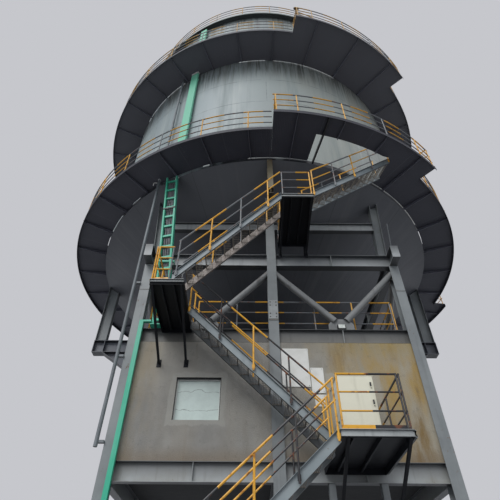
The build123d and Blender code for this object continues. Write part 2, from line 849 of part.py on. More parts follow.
def rail_return(radii, bearing, floor):
    """Short straight rails that join the rim rails where the walkway widens."""
    inner, outer = radii
    near = inner - RAIL_INSET + RAIL_TUBE / 2 + SEAM
    far = outer - RAIL_INSET - RAIL_TUBE / 2 - SEAM
    for height in (RAIL_TOP, RAIL_MIDDLE, RAIL_LOWER):
        level = floor + height - RAIL_TUBE / 2
        bar((*polar(near, bearing), level), (*polar(far, bearing), level), RAIL_TUBE, RAIL_TUBE, (0, 0, 1))
    rail_posts([(*polar((near + far) / 2, bearing), bearing)], floor)


# Upper end of the last flight, where the stairwell's edge lies square to it
HIGH_FLIGHT_FOOT = (1150, -8390, HIGH_LANDING)
HIGH_FLIGHT_HEAD = (4459, -7490, LOWER_WALK + WALK_DEPTH)
WELL_CLEAR = 60


def stairwell():
    """Cuts the opening through which the last flight comes up, with an edge square to the flight."""
    low = LOWER_WALK - 10
    high = WALK_DEPTH + 20
    sector(low, high, WELL_INNER, WELL_OUTER, WELL_START, WELL_END, mode=Mode.SUBTRACT)
    head = Vector(*HIGH_FLIGHT_HEAD)
    reach = head - Vector(*HIGH_FLIGHT_FOOT)
    run = Vector(reach.X, reach.Y, 0).normalized()
    start = head - run * 1600
    level = low + high / 2
    bar(
        (start.X, start.Y, level), (head.X, head.Y, level),
        STAIR_WIDTH + 2 * WELL_CLEAR, high, (-run.Y, run.X, 0), mode=Mode.SUBTRACT,
    )


with BuildPart() as lower_walkway:
    walkway(LOWER_PATH, LOWER_WALK)
    stairwell()
    with Locations((PIPE_X, PIPE_Y, LOWER_WALK + WALK_DEPTH)):
        Cylinder(PIPE_HOLE, 3 * WALK_PLATE, mode=Mode.SUBTRACT)
save(lower_walkway, "lower_walkway")

with BuildPart() as upper_walkway:
    walkway(UPPER_PATH, UPPER_WALK)
    hatch_sides = (LADDER_BEARING - HATCH_HALF, LADDER_BEARING + HATCH_HALF)
    sector(UPPER_WALK + 100, WALK_DEPTH, *HATCH, *hatch_sides, mode=Mode.SUBTRACT)
save(upper_walkway, "upper_walkway")

with BuildPart() as lower_brackets:
    brackets(LOWER_PATH, LOWER_WALK)
    stairwell()
    beam_level = LOWER_WALK + WALK_DEPTH - WALK_PLATE - SEAT - WELL_BEAM[1] / 2
    beam_start = (*polar(VESSEL_RADIUS + SEAT, WELL_BEAM_BEARING), beam_level)
    beam_end = (*polar(LOWER_WIDE - RIM_PLATE - SEAT, WELL_BEAM_BEARING), beam_level)
    bar(beam_start, beam_end, *reversed(WELL_BEAM), (0, 0, 1))
save(lower_brackets, "lower_brackets")

with BuildPart() as upper_brackets:
    brackets(UPPER_PATH, UPPER_WALK)
save(upper_brackets, "upper_brackets")

with BuildPart() as lower_rail:
    lower_floor = LOWER_WALK + WALK_DEPTH
    ring_rail(LOWER_PATH, lower_floor)
    for bearing in (-89, -49.6, 8.6, 48.4):
        rail_return((LOWER_RADIUS, LOWER_WIDE), bearing, lower_floor)
save(lower_rail, "lower_rail")

with BuildPart() as upper_rail:
    upper_floor = UPPER_WALK + WALK_DEPTH
    ring_rail(UPPER_PATH, upper_floor)
    for bearing in (-81.3, -44.1, 12.6, 51.4):
        rail_return((UPPER_RADIUS, UPPER_WIDE), bearing, upper_floor)
save(upper_rail, "upper_rail")

with BuildPart() as top_rail:
    roof_edge = TOP_WALK + WALK_DEPTH
    ring_rail(TOP_PATH, roof_edge)
    gate = (ROOF_LADDER_BEARING - 2.4, ROOF_LADDER_BEARING + 2.4)
    sector(roof_edge + 10, RAIL_TOP, ROOF_RADIUS - 200, ROOF_RADIUS + 50, *gate, mode=Mode.SUBTRACT)
save(top_rail, "top_rail")


# Stairs: the flights as (foot, head, width), their points on the centre line at the walking levels
FLIGHTS = {
    "flight_one": ((-3900, LANE_OUT, 0), (LOW_SPAN[0], LANE_OUT, LOW_LANDING)),
    "flight_two": ((1170, LANE_IN, LOW_LANDING), (MID_SPAN[1], LANE_IN, MID_LANDING)),
    "flight_three": ((-2680, LANE_OUT + 100, MID_LANDING), (HIGH_SPAN[0], LANE_OUT + 100, HIGH_LANDING)),
    "flight_four": (HIGH_FLIGHT_FOOT, HIGH_FLIGHT_HEAD),
}


class Flight:
    """The geometry of one flight: its upright plane, rise, run and steps."""

    def __init__(self, foot, head):
        self.run = Vector(head[0] - foot[0], head[1] - foot[1], 0)
        self.length = self.run.length
        self.height = head[2] - foot[2]
        self.steps = round(self.height / RISER)
        self.rise = self.height / self.steps
        self.going = self.length / (self.steps - 1)
        self.slope = self.rise / self.going
        self.plane = Plane(origin=foot, x_dir=self.run, z_dir=self.run.cross(Vector(0, 0, 1)))

    def nosing(self, distance):
        """Height of the nosing line above the foot at a distance along the run."""
        return self.slope * distance + self.rise


def stringer(flight, side):
    """A channel stringer, its flanges turned outwards, cut level at the foot and upright at the head."""
    low = -STRINGER_FOOT
    end = flight.length - SEAT
    meets_floor = (STRINGER_BELOW - flight.rise) / flight.slope
    outer = [
        (low, SEAT),
        (meets_floor, SEAT),
        (end, flight.nosing(end) - STRINGER_BELOW),
        (end, flight.nosing(end) + STRINGER_ABOVE),
        (low, flight.nosing(low) + STRINGER_ABOVE),
    ]
    flange = STRINGER_WEB * 1.4
    hollow = [
        (low - 500, flight.nosing(low - 500) - STRINGER_BELOW + flange),
        (end + 500, flight.nosing(end + 500) - STRINGER_BELOW + flange),
        (end + 500, flight.nosing(end + 500) + STRINGER_ABOVE - flange),
        (low - 500, flight.nosing(low - 500) + STRINGER_ABOVE - flange),
    ]
    face = STAIR_WIDTH / 2
    web_plane = flight.plane.offset(side * (face - STRINGER_FLANGE / 2))
    plate(outer, web_plane, STRINGER_FLANGE)
    cut_plane = flight.plane.offset(side * (face - STRINGER_FLANGE / 2 + STRINGER_WEB))
    plate(hollow, cut_plane, STRINGER_FLANGE, mode=Mode.SUBTRACT)


def treads(flight):
    """The treads between the webs of the stringers."""
    depth = flight.going + TREAD_LAP
    with BuildSketch(flight.plane) as outline:
        for step in range(1, flight.steps):
            middle = (step - 1) * flight.going - TREAD_NOSE + depth / 2
            with Locations((middle, step * flight.rise - TREAD_THICK / 2)):
                Rectangle(depth, TREAD_THICK)
    extrude(outline.sketch, amount=STAIR_WIDTH / 2 - STRINGER_FLANGE - SEAT, both=True)


flights = {name: Flight(*ends) for name, ends in FLIGHTS.items()}

with BuildPart() as stair_stringers:
    for flight in flights.values():
        for side in (-1, 1):
            stringer(flight, side)
save(stair_stringers, "stair_stringers")

for flight_name, flight in flights.items():
    with BuildPart() as flight_treads:
        treads(flight)
    save(flight_treads, f"{flight_name}_treads")


def flight_rail(flight, side):
    """A sloping top rail and middle rail on uprights bolted to the outside of a stringer."""
    across = side * (STAIR_WIDTH / 2 + RAIL_TUBE / 2 + SEAT)
    plane = flight.plane.offset(across)
    first = RAIL_TUBE
    last = flight.length - RAIL_TUBE
    count = ceil((last - first) / POST_PITCH)
    half = RAIL_TUBE / 2
    for i in range(count + 1):
        s = first + i * (last - first) / count
        line = flight.nosing(s)
        post = [
            (s - half, line - STRINGER_BELOW / 2),
            (s + half, line - STRINGER_BELOW / 2),
            (s + half, line + STAIR_RAIL_TOP),
            (s - half, line + STAIR_RAIL_TOP),
        ]
        plate(post, plane, RAIL_TUBE)
    for height in (STAIR_RAIL_TOP, STAIR_RAIL_MIDDLE):
        rail = [
            (first - half, flight.nosing(first - half) + height),
            (last + half, flight.nosing(last + half) + height),
            (last + half, flight.nosing(last + half) + height + RAIL_TUBE * 1.3),
            (first - half, flight.nosing(first - half) + height + RAIL_TUBE * 1.3),
        ]
        plate(rail, plane, RAIL_TUBE)


with BuildPart() as stair_rails:
    for flight in flights.values():
        for side in (-1, 1):
            flight_rail(flight, side)
save(stair_rails, "stair_rails")


# Landings: channel frames with a floor plate, hung from the beams and propped by knee braces
def landing(span, front, level, brace_xs, brace_foot):
    """One landing with its knee braces, whose feet stand at brace_foot (y, z)."""
    x0, x1 = span
    low = level - LANDING_DEPTH
    back = -LANDING_BACK - SEAT
    block((x0, -front, low), (x1, back, level))
    block(
        (x0 + LANDING_CHANNEL / 8, -front + LANDING_CHANNEL / 8, low - 1),
        (x1 - LANDING_CHANNEL / 8, back - LANDING_CHANNEL / 8, level - LANDING_PLATE),
        mode=Mode.SUBTRACT,
    )
    foot_y, foot_z = brace_foot
    half = KNEE_BAR / 2
    for x in brace_xs:
        bar((x, foot_y - KNEE_PLATE, foot_z), (x, -front, low + half), KNEE_BAR, KNEE_BAR, (1, 0, 0))
        block((x - KNEE_BAR, foot_y, foot_z - 110), (x + KNEE_BAR, foot_y - KNEE_PLATE, foot_z + 110))
        block((x - KNEE_BAR, -front, low - 200), (x + KNEE_BAR, -front - 200, level + 200), mode=Mode.SUBTRACT)
        block(
            (x - KNEE_BAR, foot_y, foot_z - 300), (x + KNEE_BAR, foot_y + 200, foot_z + 300),
            mode=Mode.SUBTRACT,
        )


POST_XS = (LOW_SPAN[0] + 150, LOW_SPAN[1] - 75)
post_face = -(AISLE + POST[0] / 2 + SEAT)
with BuildPart() as low_landing:
    landing(LOW_SPAN, LOW_FRONT, LOW_LANDING, POST_XS, (post_face, 3300))
save(low_landing, "low_landing")

wall_face = -(AISLE + WALL / 2 + SEAT)
with BuildPart() as mid_landing:
    landing(MID_SPAN, MID_FRONT, MID_LANDING, (MID_SPAN[0] + 60, MID_SPAN[1] - 60), (wall_face, 7450))
save(mid_landing, "mid_landing")

beam_face = -(AISLE + GIRDER[1] / 2 + SEAT)
with BuildPart() as high_landing:
    strut_foot = GIRDER_TOP - GIRDER[2] / 2
    strut_xs = (HIGH_SPAN[0] + 60, HIGH_SPAN[1] - 60)
    landing(HIGH_SPAN, HIGH_FRONT, HIGH_LANDING, strut_xs, (beam_face, strut_foot))
    for x in strut_xs:
        block((x - 50, -AISLE - 110, GIRDER_TOP + SEAT), (x + 50, -AISLE - 10, HIGH_LANDING - LANDING_PLATE))
save(high_landing, "high_landing")

# Landing at the room's rear door, on two posts of its own
DOOR_SPAN = (DOOR_X - 700, DOOR_X + 700)
DOOR_FRONT = 8100
DOOR_LANDING = FLOOR_TOP + SLAB
REAR_POST_XS = (DOOR_SPAN[0] + POST[1], DOOR_SPAN[1] - POST[1])
REAR_POST_Y = DOOR_FRONT - POST[0]
with BuildPart() as rear_landing:
    low = DOOR_LANDING - LANDING_DEPTH
    edge = LANDING_CHANNEL / 8
    wall_side = AISLE + WALL / 2 + SEAT
    block((DOOR_SPAN[0], wall_side, low), (DOOR_SPAN[1], DOOR_FRONT, DOOR_LANDING))
    block(
        (DOOR_SPAN[0] + edge, wall_side + edge, low - 1),
        (DOOR_SPAN[1] - edge, DOOR_FRONT - edge, DOOR_LANDING - LANDING_PLATE),
        mode=Mode.SUBTRACT,
    )
    notch = LANDING_BACK + SEAT
    block(
        (DOOR_SPAN[0] - 1, wall_side - 1, low - 1), (DOOR_SPAN[1] + 1, notch, FLOOR_TOP + SEAT),
        mode=Mode.SUBTRACT,
    )
save(rear_landing, "rear_landing")


def post_with_foot(x, y, top):
    """An H post on its own base plate."""
    h_member((x, y, 20), (x, y, top), POST, (1, 0, 0))
    block((x - 150, y - 150, 0), (x + 150, y + 150, 20))


with BuildPart() as landing_posts:
    for x in POST_XS:
        post_with_foot(x, -AISLE, FLOOR_TOP - FLOOR_BEAM[0] - SEAT)
    for x in REAR_POST_XS:
        post_with_foot(x, REAR_POST_Y, DOOR_LANDING - LANDING_PLATE - SEAT)
save(landing_posts, "landing_posts")


def straight_rail(start, end, floor):
    """A level handrail panel with a toe board, between two plan points, standing on its floor."""
    run = Vector(end[0] - start[0], end[1] - start[1], 0)
    across = run.normalized().cross(Vector(0, 0, 1))
    for height in (RAIL_TOP, RAIL_MIDDLE, RAIL_LOWER):
        level = floor + height - RAIL_TUBE / 2
        bar((*start, level), (*end, level), RAIL_TUBE, RAIL_TUBE, tuple(across))
    count = max(1, ceil(run.length / POST_PITCH))
    inset = run.normalized() * (RAIL_TUBE / 2)
    first = Vector(*start, 0) + inset
    spots = [first + (run - inset * 2) * (i / count) for i in range(count + 1)]
    rail_posts([(spot.X, spot.Y, 0) for spot in spots], floor)
    level = floor + TOE_HEIGHT / 2
    bar((*start, level), (*end, level), TOE_THICK, TOE_HEIGHT, tuple(across))


with BuildPart() as landing_rails:
    edge = RAIL_TUBE / 2 + 5
    corner = edge + RAIL_TUBE / 2 + SEAM
    low_right = LOW_SPAN[1] - edge
    low_edge = -LOW_FRONT + edge
    straight_rail((LOW_SPAN[0] + corner, low_edge), (low_right - RAIL_TUBE, low_edge), LOW_LANDING)
    straight_rail((low_right, -LOW_FRONT + edge), (low_right, -LANDING_BACK - 60), LOW_LANDING)
    mid_left = MID_SPAN[0] + edge
    flight_edge = FLIGHTS["flight_three"][0][0] - STRINGER_FOOT - RAIL_TUBE
    straight_rail((mid_left + RAIL_TUBE, -MID_FRONT + edge), (flight_edge, -MID_FRONT + edge), MID_LANDING)
    ladder_edge = LADDER_FOOT[1] - LADDER_SHOE - RAIL_TUBE
    straight_rail((mid_left, -MID_FRONT + edge), (mid_left, ladder_edge), MID_LANDING)
    high_left = HIGH_SPAN[0] + edge
    high_right = HIGH_SPAN[1] - edge
    straight_rail((high_left, -HIGH_FRONT + edge), (high_right, -HIGH_FRONT + edge), HIGH_LANDING)
    straight_rail((high_left, -7900), (high_left, -LANDING_BACK - 60), HIGH_LANDING)
    straight_rail((high_right, -7850), (high_right, -LANDING_BACK - 60), HIGH_LANDING)
    door_left = DOOR_SPAN[0] + edge
    door_right = DOOR_SPAN[1] - edge
    straight_rail((door_left, LANDING_BACK + 80), (door_left, DOOR_FRONT - corner), DOOR_LANDING)
    straight_rail((door_left, DOOR_FRONT - edge), (door_right, DOOR_FRONT - edge), DOOR_LANDING)
save(landing_rails, "landing_rails")

# Handrail round the room's roof deck, open where the middle landing reaches it
with BuildPart() as roof_rails:
    rail_y = AISLE - COLUMN[0] / 2 - 100
    rail_x = BAY - COLUMN[0] / 2 - 100
    floor = ROOF_TOP + ROOF_PLATE
    straight_rail((MID_SPAN[1] + 60, -rail_y), (rail_x - 60, -rail_y), floor)
    straight_rail((-rail_x + 60, rail_y), (rail_x - 60, rail_y), floor)
    for x in (-rail_x, rail_x):
        straight_rail((x, 60 - rail_y), (x, rail_y - 60), floor)
save(roof_rails, "roof_rails")

# Equipment cabinet, open at the front, and its hinged door with two handles
cabinet_right = CABINET_LEFT + CABINET_WIDTH
cabinet_back = -LANDING_BACK - SEAT
cabinet_front = cabinet_back - CABINET_DEPTH
cabinet_foot = LOW_LANDING + SEAT
cabinet_top = LOW_LANDING + CABINET_HEIGHT
hinge_x = CABINET_LEFT - HINGE_OFFSET
hinge_y = cabinet_front - DOOR_GAP / 2


def knuckle(level, radius=HINGE_RADIUS, height=HINGE_HEIGHT, mode=Mode.ADD):
    """A hinge knuckle, pin or bore upright on the door's axis, from a level upwards."""
    with Locations((hinge_x, hinge_y, level)):
        Cylinder(radius, height, align=(Align.CENTER, Align.CENTER, Align.MIN), mode=mode)


with BuildPart() as cabinet:
    block((CABINET_LEFT, cabinet_front, cabinet_foot), (cabinet_right, cabinet_back, cabinet_top))
    block(
        (CABINET_LEFT + CABINET_SHEET, cabinet_front - 1, LOW_LANDING + CABINET_PLINTH),
        (cabinet_right - CABINET_SHEET, cabinet_back - CABINET_SHEET, cabinet_top - CABINET_SHEET),
        mode=Mode.SUBTRACT,
    )
    for level in HINGE_LEVELS:
        low = LOW_LANDING + level
        knuckle(low)
        block((hinge_x, cabinet_front, low), (CABINET_LEFT, cabinet_front + HINGE_LEAF, low + HINGE_HEIGHT))
        knuckle(low, PIN_RADIUS, 2 * HINGE_HEIGHT)
save(cabinet, "cabinet")

with BuildPart() as cabinet_door:
    door_back = cabinet_front - DOOR_GAP
    door_front = door_back - DOOR_THICK
    block((CABINET_LEFT, door_front, LOW_LANDING + CABINET_PLINTH), (cabinet_right, door_back, cabinet_top))
    for level in HINGE_LEVELS:
        low = LOW_LANDING + level + HINGE_HEIGHT + SEAT
        knuckle(low)
        block((hinge_x, door_front, low), (CABINET_LEFT, door_back, low + HINGE_HEIGHT))
        knuckle(low, PIN_RADIUS + SEAT, HINGE_HEIGHT, Mode.SUBTRACT)
    handle_width, handle_depth, handle_height = HANDLE
    for level in HANDLE_LEVELS:
        low = LOW_LANDING + level
        handle_x = cabinet_right - HANDLE_INSET
        handle_foot = (handle_x, door_front - handle_depth, low)
        block(handle_foot, (handle_x + handle_width, door_front, low + handle_height))
save(cabinet_door, "cabinet_door")

# Cable trays: a covered one up the front wall, a ladder to the vessel and two covered ones on it
with BuildPart() as cable_trays:
    tray_back = -AISLE - COLUMN[0] / 2 - SEAT
    tray_top = ROOF_TOP + 200
    block((TRAY_X, tray_back - TRAY_DEPTH, BASE_THICK + SEAT), (TRAY_X + TRAY_WIDTH, tray_back, tray_top))
    arm_start = TRAY_X + TRAY_WIDTH
    block((arm_start, tray_back - TRAY_DEPTH, tray_top - 60), (arm_start + 220, tray_back, tray_top))
    along = Plane(origin=(0, 0, 0), x_dir=(*polar(1, TRAY_BEARING), 0), z_dir=(*polar(1, TRAY_BEARING - 90), 0))
    for low, high in (
        (LOWER_WALK + WALK_DEPTH + SEAT, UPPER_WALK - 60),
        (UPPER_WALK + WALK_DEPTH + SEAT, TOP_WALK - 200),
    ):
        cover = [
            (VESSEL_RADIUS + 130, low),
            (VESSEL_RADIUS + 130 + TRAY_DEPTH, low),
            (VESSEL_RADIUS + 130 + TRAY_DEPTH, high),
            (VESSEL_RADIUS + 130, high),
        ]
        plate(cover, along, SHELL_TRAY_WIDTH)
        for level in (low + 400, (low + high) / 2, high - 400):
            stand_off = [
                (VESSEL_RADIUS - 5, level),
                (VESSEL_RADIUS + 130, level),
                (VESSEL_RADIUS + 130, level + 60),
                (VESSEL_RADIUS - 5, level + 60),
            ]
            plate(stand_off, along, SHELL_TRAY_WIDTH * 0.7)
    with Locations((0, 0, 23000)):
        Cylinder(VESSEL_RADIUS + SEAT, 15000, mode=Mode.SUBTRACT)
save(cable_trays, "cable_trays")

with BuildPart() as cable_ladder:
    foot = Vector(*LADDER_FOOT)
    run = Vector(*LADDER_HEAD) - foot
    across = Vector(1, -0.25, 0).normalized()
    half = across * (LADDER_WIDTH / 2)
    for shift in (half, half * -1):
        bar(tuple(foot + shift), tuple(foot + run + shift), *LADDER_STILE, tuple(across))
    for i in range(LADDER_RUNGS):
        middle = foot + run * ((i + 0.5) / LADDER_RUNGS)
        bar(tuple(middle - half), tuple(middle + half), *LADDER_RUNG, (0, 0, 1))
    foot_left = foot.X - LADDER_WIDTH / 2 - LADDER_STILE[0]
    foot_right = foot.X + LADDER_WIDTH / 2 + LADDER_STILE[0]
    block((foot_left, foot.Y - LADDER_SHOE, ROOF_TOP + SEAT), (foot_right, -AISLE, ROOF_TOP + 30))
    strap_level = GIRDER_TOP - GIRDER[0] + GIRDER[2] / 2
    strap = foot + run * ((strap_level - foot.Z) / run.Z)
    strap_back = -AISLE - GIRDER[1] / 2 - SEAT
    block((strap.X - 300, strap.Y - 30, strap_level - 30), (strap.X + 300, strap.Y + 30, strap_level + 30))
    for x in (strap.X - 290, strap.X + 290):
        block((x - 10, strap.Y - 30, strap_level - 30), (x + 10, strap_back, strap_level + 30))
save(cable_ladder, "cable_ladder")

# Riser pipe beside the left column, clipped to it and to the vessel, up to the upper walkway
with BuildPart() as riser_pipe:
    pipe_foot = 5200
    with BuildSketch(Plane.XY.offset(pipe_foot)) as pipe_section:
        with Locations((PIPE_X, PIPE_Y)):
            Circle(PIPE_RADIUS)
    extrude(pipe_section.sketch, amount=UPPER_WALK + WALK_DEPTH - WALK_PLATE - SEAT - pipe_foot)
    for level in (pipe_foot + 100, 7600, 10200):
        block((PIPE_X - 30, PIPE_Y - 5, level), (-BAY - COLUMN[1] / 2 - SEAT, PIPE_Y + 95, level + 60))
    pipe_bearing = degrees(atan2(PIPE_Y, PIPE_X))
    for level in (17200, 19600, 22000):
        bar((PIPE_X, PIPE_Y, level), (*polar(VESSEL_RADIUS - 20, pipe_bearing), level), 60, 20, (0, 0, 1))
    with Locations((0, 0, 23000)):
        Cylinder(VESSEL_RADIUS + SEAT, 15000, mode=Mode.SUBTRACT)
save(riser_pipe, "riser_pipe")

# Rear ladders: from the ground to the door, between the walkways and up to the roof
RUNG_PITCH = 300
RUNG = 24
STILE = (60, 12)
STILE_REACH = 225


def upright_ladder(centre, side, low, high):
    """Two stiles and their rungs, standing at a plan point and spread along side."""
    out = tuple(side.cross(Vector(0, 0, 1)))
    for hand in (-1, 1):
        foot = centre + side * hand * STILE_REACH
        bar((foot.X, foot.Y, low), (foot.X, foot.Y, high), *STILE, out)
    for i in range(int((high - low - RUNG_PITCH) // RUNG_PITCH)):
        level = low + RUNG_PITCH * (i + 1)
        start = centre - side * STILE_REACH
        finish = centre + side * STILE_REACH
        bar((start.X, start.Y, level), (finish.X, finish.Y, level), RUNG, RUNG, (0, 0, 1))


def vessel_ladder(bearing, radius, low, high, ties):
    """An upright ladder on a walkway, with ties to the vessel."""
    centre = Vector(*polar(radius, bearing), 0)
    side = Vector(*polar(1, bearing + 90), 0)
    upright_ladder(centre, side, low, high)
    for level in ties:
        for hand in (-1, 1):
            inner = Vector(*polar(VESSEL_RADIUS - 20, bearing), 0) + side * hand * STILE_REACH
            outer = centre + side * hand * STILE_REACH
            bar((inner.X, inner.Y, level), (outer.X, outer.Y, level), 50, 10, (0, 0, 1))


with BuildPart() as access_ladders:
    lower_foot = LOWER_WALK + WALK_DEPTH + SEAT
    upper_foot = UPPER_WALK + WALK_DEPTH + SEAT
    hatch_top = UPPER_WALK + WALK_DEPTH + RAIL_TOP
    roof_top = TOP_WALK + WALK_DEPTH + RAIL_TOP
    vessel_ladder(LADDER_BEARING, VESSEL_RADIUS + LADDER_CLEAR, lower_foot, hatch_top, (17500, 20500, 23000))
    vessel_ladder(ROOF_LADDER_BEARING, ROOF_RADIUS + 60, upper_foot, roof_top, (26000, 28500))
    with Locations((0, 0, 23000)):
        Cylinder(VESSEL_RADIUS + SEAT, 18000, mode=Mode.SUBTRACT)
    ladder_x = DOOR_SPAN[1] + STILE[0] / 2 + SEAT
    ladder_y = (LANDING_BACK + DOOR_FRONT) / 2
    upright_ladder(Vector(ladder_x, ladder_y, 0), Vector(0, 1, 0), 0, DOOR_LANDING + RAIL_TOP)
save(access_ladders, "access_ladders")

# Insulator housings on the roof
HOUSING_RADIUS = 450
HOUSING_HEIGHT = 950
HOUSING_PLACE = 4200
with BuildPart() as insulator_housings:
    roof_level = TOP_WALK + WALK_DEPTH
    with Locations((0, 0, roof_level)):
        with PolarLocations(HOUSING_PLACE, 4, start_angle=45):
            Cylinder(HOUSING_RADIUS, HOUSING_HEIGHT, align=(Align.CENTER, Align.CENTER, Align.MIN))
            with Locations((0, 0, HOUSING_HEIGHT)):
                Cylinder(HOUSING_RADIUS + 50, CAP_THICK, align=(Align.CENTER, Align.CENTER, Align.MIN))
    roof_skin = [
        (0, roof_level - 100),
        (ROOF_FLAT, roof_level - 100),
        (ROOF_FLAT, roof_level + SEAT),
        (0, roof_level + ROOF_RISE + SEAT),
    ]
    with BuildSketch(Plane.XZ) as under_roof:
        with BuildLine():
            Polyline(*roof_skin, close=True)
        make_face()
    revolve(under_roof.sketch, axis=Axis.Z, mode=Mode.SUBTRACT)
save(insulator_housings, "insulator_housings")
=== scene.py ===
from functools import partial
from itertools import product
from math import ceil, cos, pi, radians, sin

import bpy
import numpy as np
from mathutils import Matrix


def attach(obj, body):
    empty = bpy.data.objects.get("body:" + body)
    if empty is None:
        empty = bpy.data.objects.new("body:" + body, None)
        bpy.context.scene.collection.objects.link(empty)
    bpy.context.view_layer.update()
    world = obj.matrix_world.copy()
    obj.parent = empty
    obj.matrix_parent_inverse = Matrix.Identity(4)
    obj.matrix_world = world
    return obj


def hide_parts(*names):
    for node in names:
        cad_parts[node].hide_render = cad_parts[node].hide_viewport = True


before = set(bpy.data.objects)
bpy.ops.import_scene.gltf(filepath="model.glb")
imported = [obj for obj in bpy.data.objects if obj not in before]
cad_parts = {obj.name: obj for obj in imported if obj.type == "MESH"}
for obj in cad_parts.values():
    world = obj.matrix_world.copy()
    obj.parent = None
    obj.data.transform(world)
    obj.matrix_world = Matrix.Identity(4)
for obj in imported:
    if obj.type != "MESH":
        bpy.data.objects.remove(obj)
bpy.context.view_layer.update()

BAY = 4.05
AISLE = 6.6
FLOOR_TOP = 4.93
ROOF_TOP = 8.59
GIRDER_TOP = 11.54
BEAM_DEPTH = 0.45
BEAM_WIDTH = 0.2
VESSEL_RADIUS = 7.92
VESSEL_FOOT = 15.34
HOPPER_SLOPE = radians(35)
LOWER_FLOOR = 15.5
UPPER_FLOOR = 24.25
TOP_FLOOR = 30.55
COURSE = 2.13
COURSE_START = 15.66
WALL_FACE = -6.695
LANDING_EDGE = -6.7
STAIRWELL_BEAM = -77.9
BETWEEN_RINGS = 20.0
WINDOW_X = 2.065
WINDOW_LEVEL = 6.475
WINDOW_HALF = (0.6, 0.575)
WINDOW_SET = 0.06
SHELL_PLATES = 8
HOPPER_PLATES = 16
DECK_PANELS = 32
ARC_STEP = 2.0

# Surfaces


def quads(rows, columns, closed):
    """Faces between neighbouring stations (rows) and outline points (columns, joined round)."""
    last = rows if closed else rows - 1
    i, j = np.meshgrid(np.arange(last), np.arange(columns), indexing="ij")
    i2, j2 = (i + 1) % rows, (j + 1) % columns
    corners = [i * columns + j, i * columns + j2, i2 * columns + j2, i2 * columns + j]
    return np.stack(corners, axis=-1).reshape(-1, 4)


def lofted(stations, run, closed=False):
    """Skin over stations[i, j], outline j at station i, with a fan from each end's mean point.
    run[i] is the distance along, kept as the first UV value."""
    rows, columns = stations.shape[:2]
    points = stations.reshape(-1, 3)
    around = np.tile(np.arange(columns) / columns, rows)
    uv = np.stack([np.repeat(run, columns), around], axis=-1)
    faces = [quads(rows, columns, closed)]
    if not closed:
        ends = stations[[0, -1]].mean(axis=1)
        points = np.concatenate([points, ends])
        uv = np.concatenate([uv, [[run[0], 0.5], [run[-1], 0.5]]])
        j = np.arange(columns)
        j2 = (j + 1) % columns
        hub = rows * columns
        last = (rows - 1) * columns
        faces.append(np.stack([j2, j, np.full(columns, hub)], axis=-1))
        faces.append(np.stack([last + j, last + j2, np.full(columns, hub + 1)], axis=-1))
    return points, faces, uv


def unit(vectors):
    """Vectors divided by their lengths."""
    return vectors / np.linalg.norm(vectors, axis=-1, keepdims=True)


def carried(path, outline, up=(0, 0, 1), closed=False, band=1.0, lead=0.0, phase=None):
    """Outline (x, y) carried along a path: point = path + x * side + y * lift, where side is
    up x tangent and lift is tangent x side. The run is (distance + lead) / band, or the phase
    all along, which paints the whole piece in one band."""
    path = np.asarray(path, float)
    if closed:
        ahead = np.roll(path, -1, axis=0) - np.roll(path, 1, axis=0)
    else:
        steps = unit(np.diff(path, axis=0))
        ahead = np.concatenate([steps[:1], steps[:-1] + steps[1:], steps[-1:]])
    tangent = unit(ahead)
    side = unit(np.cross(np.broadcast_to(up, tangent.shape), tangent))
    lift = np.cross(tangent, side)
    outline = np.asarray(outline, float)
    stations = (
        path[:, None] + outline[None, :, :1] * side[:, None] + outline[None, :, 1:] * lift[:, None]
    )
    lengths = np.linalg.norm(np.diff(path, axis=0), axis=-1)
    run = (np.concatenate([[0], np.cumsum(lengths)]) + lead) / band
    if phase is not None:
        run = run * 0 + phase
    return lofted(stations, run, closed)


def even_turns(count):
    """Angles spread evenly round a circle."""
    return np.arange(count) * 2 * pi / count


def round_outline(radius, sides=8):
    """Points of a circle, anticlockwise."""
    turn = even_turns(sides)
    return np.stack([radius * np.cos(turn), radius * np.sin(turn)], axis=-1)


def flat_outline(width, height):
    """The four corners of a rectangle, anticlockwise."""
    x, y = width / 2, height / 2
    return np.array([(x, -y), (x, y), (-x, y), (-x, -y)])


def eased_outline(width, height, ease):
    """A rectangle with its four corners cut at 45 degrees, anticlockwise."""
    x, y = width / 2, height / 2
    return np.array(
        [
            (x - ease, -y), (x, -y + ease), (x, y - ease), (x - ease, y),
            (-x + ease, y), (-x, y - ease), (-x, -y + ease), (-x + ease, -y),
        ]
    )


def tube(start, end, radius, **run):
    """A straight round bar."""
    rise = abs(end[2] - start[2]) / np.linalg.norm(np.subtract(end, start))
    up = (1, 0, 0) if rise > 0.9 else (0, 0, 1)
    return carried([start, end], round_outline(radius), up, **run)


def slab(centre, size, ease=0.002, phase=None):
    """An upright block with eased edges: a cut-cornered rectangle carried upwards, drawn in a
    little at its foot and head."""
    width, depth, height = size
    outline = eased_outline(width, depth, ease)
    small = eased_outline(width - 2 * ease, depth - 2 * ease, ease / 2)
    levels = np.array([-height / 2, -height / 2 + ease, height / 2 - ease, height / 2])
    rings = np.stack([small, outline, outline, small])
    stations = np.concatenate([rings, np.broadcast_to(levels[:, None, None], (4, 8, 1))], axis=-1)
    run = levels * 0 + phase if phase is not None else levels
    return lofted(stations + np.asarray(centre, float), run)


def spun(profile, sides=12):
    """A profile of (radius, height) turned about Z: point = (r cos t, r sin t, h)."""
    profile = np.asarray(profile, float)
    turn = even_turns(sides)
    stations = np.stack(
        [
            profile[:, :1] * np.cos(turn),
            profile[:, :1] * np.sin(turn),
            np.broadcast_to(profile[:, 1:], (len(profile), sides)),
        ],
        axis=-1,
    )
    return lofted(stations, profile[:, 1])


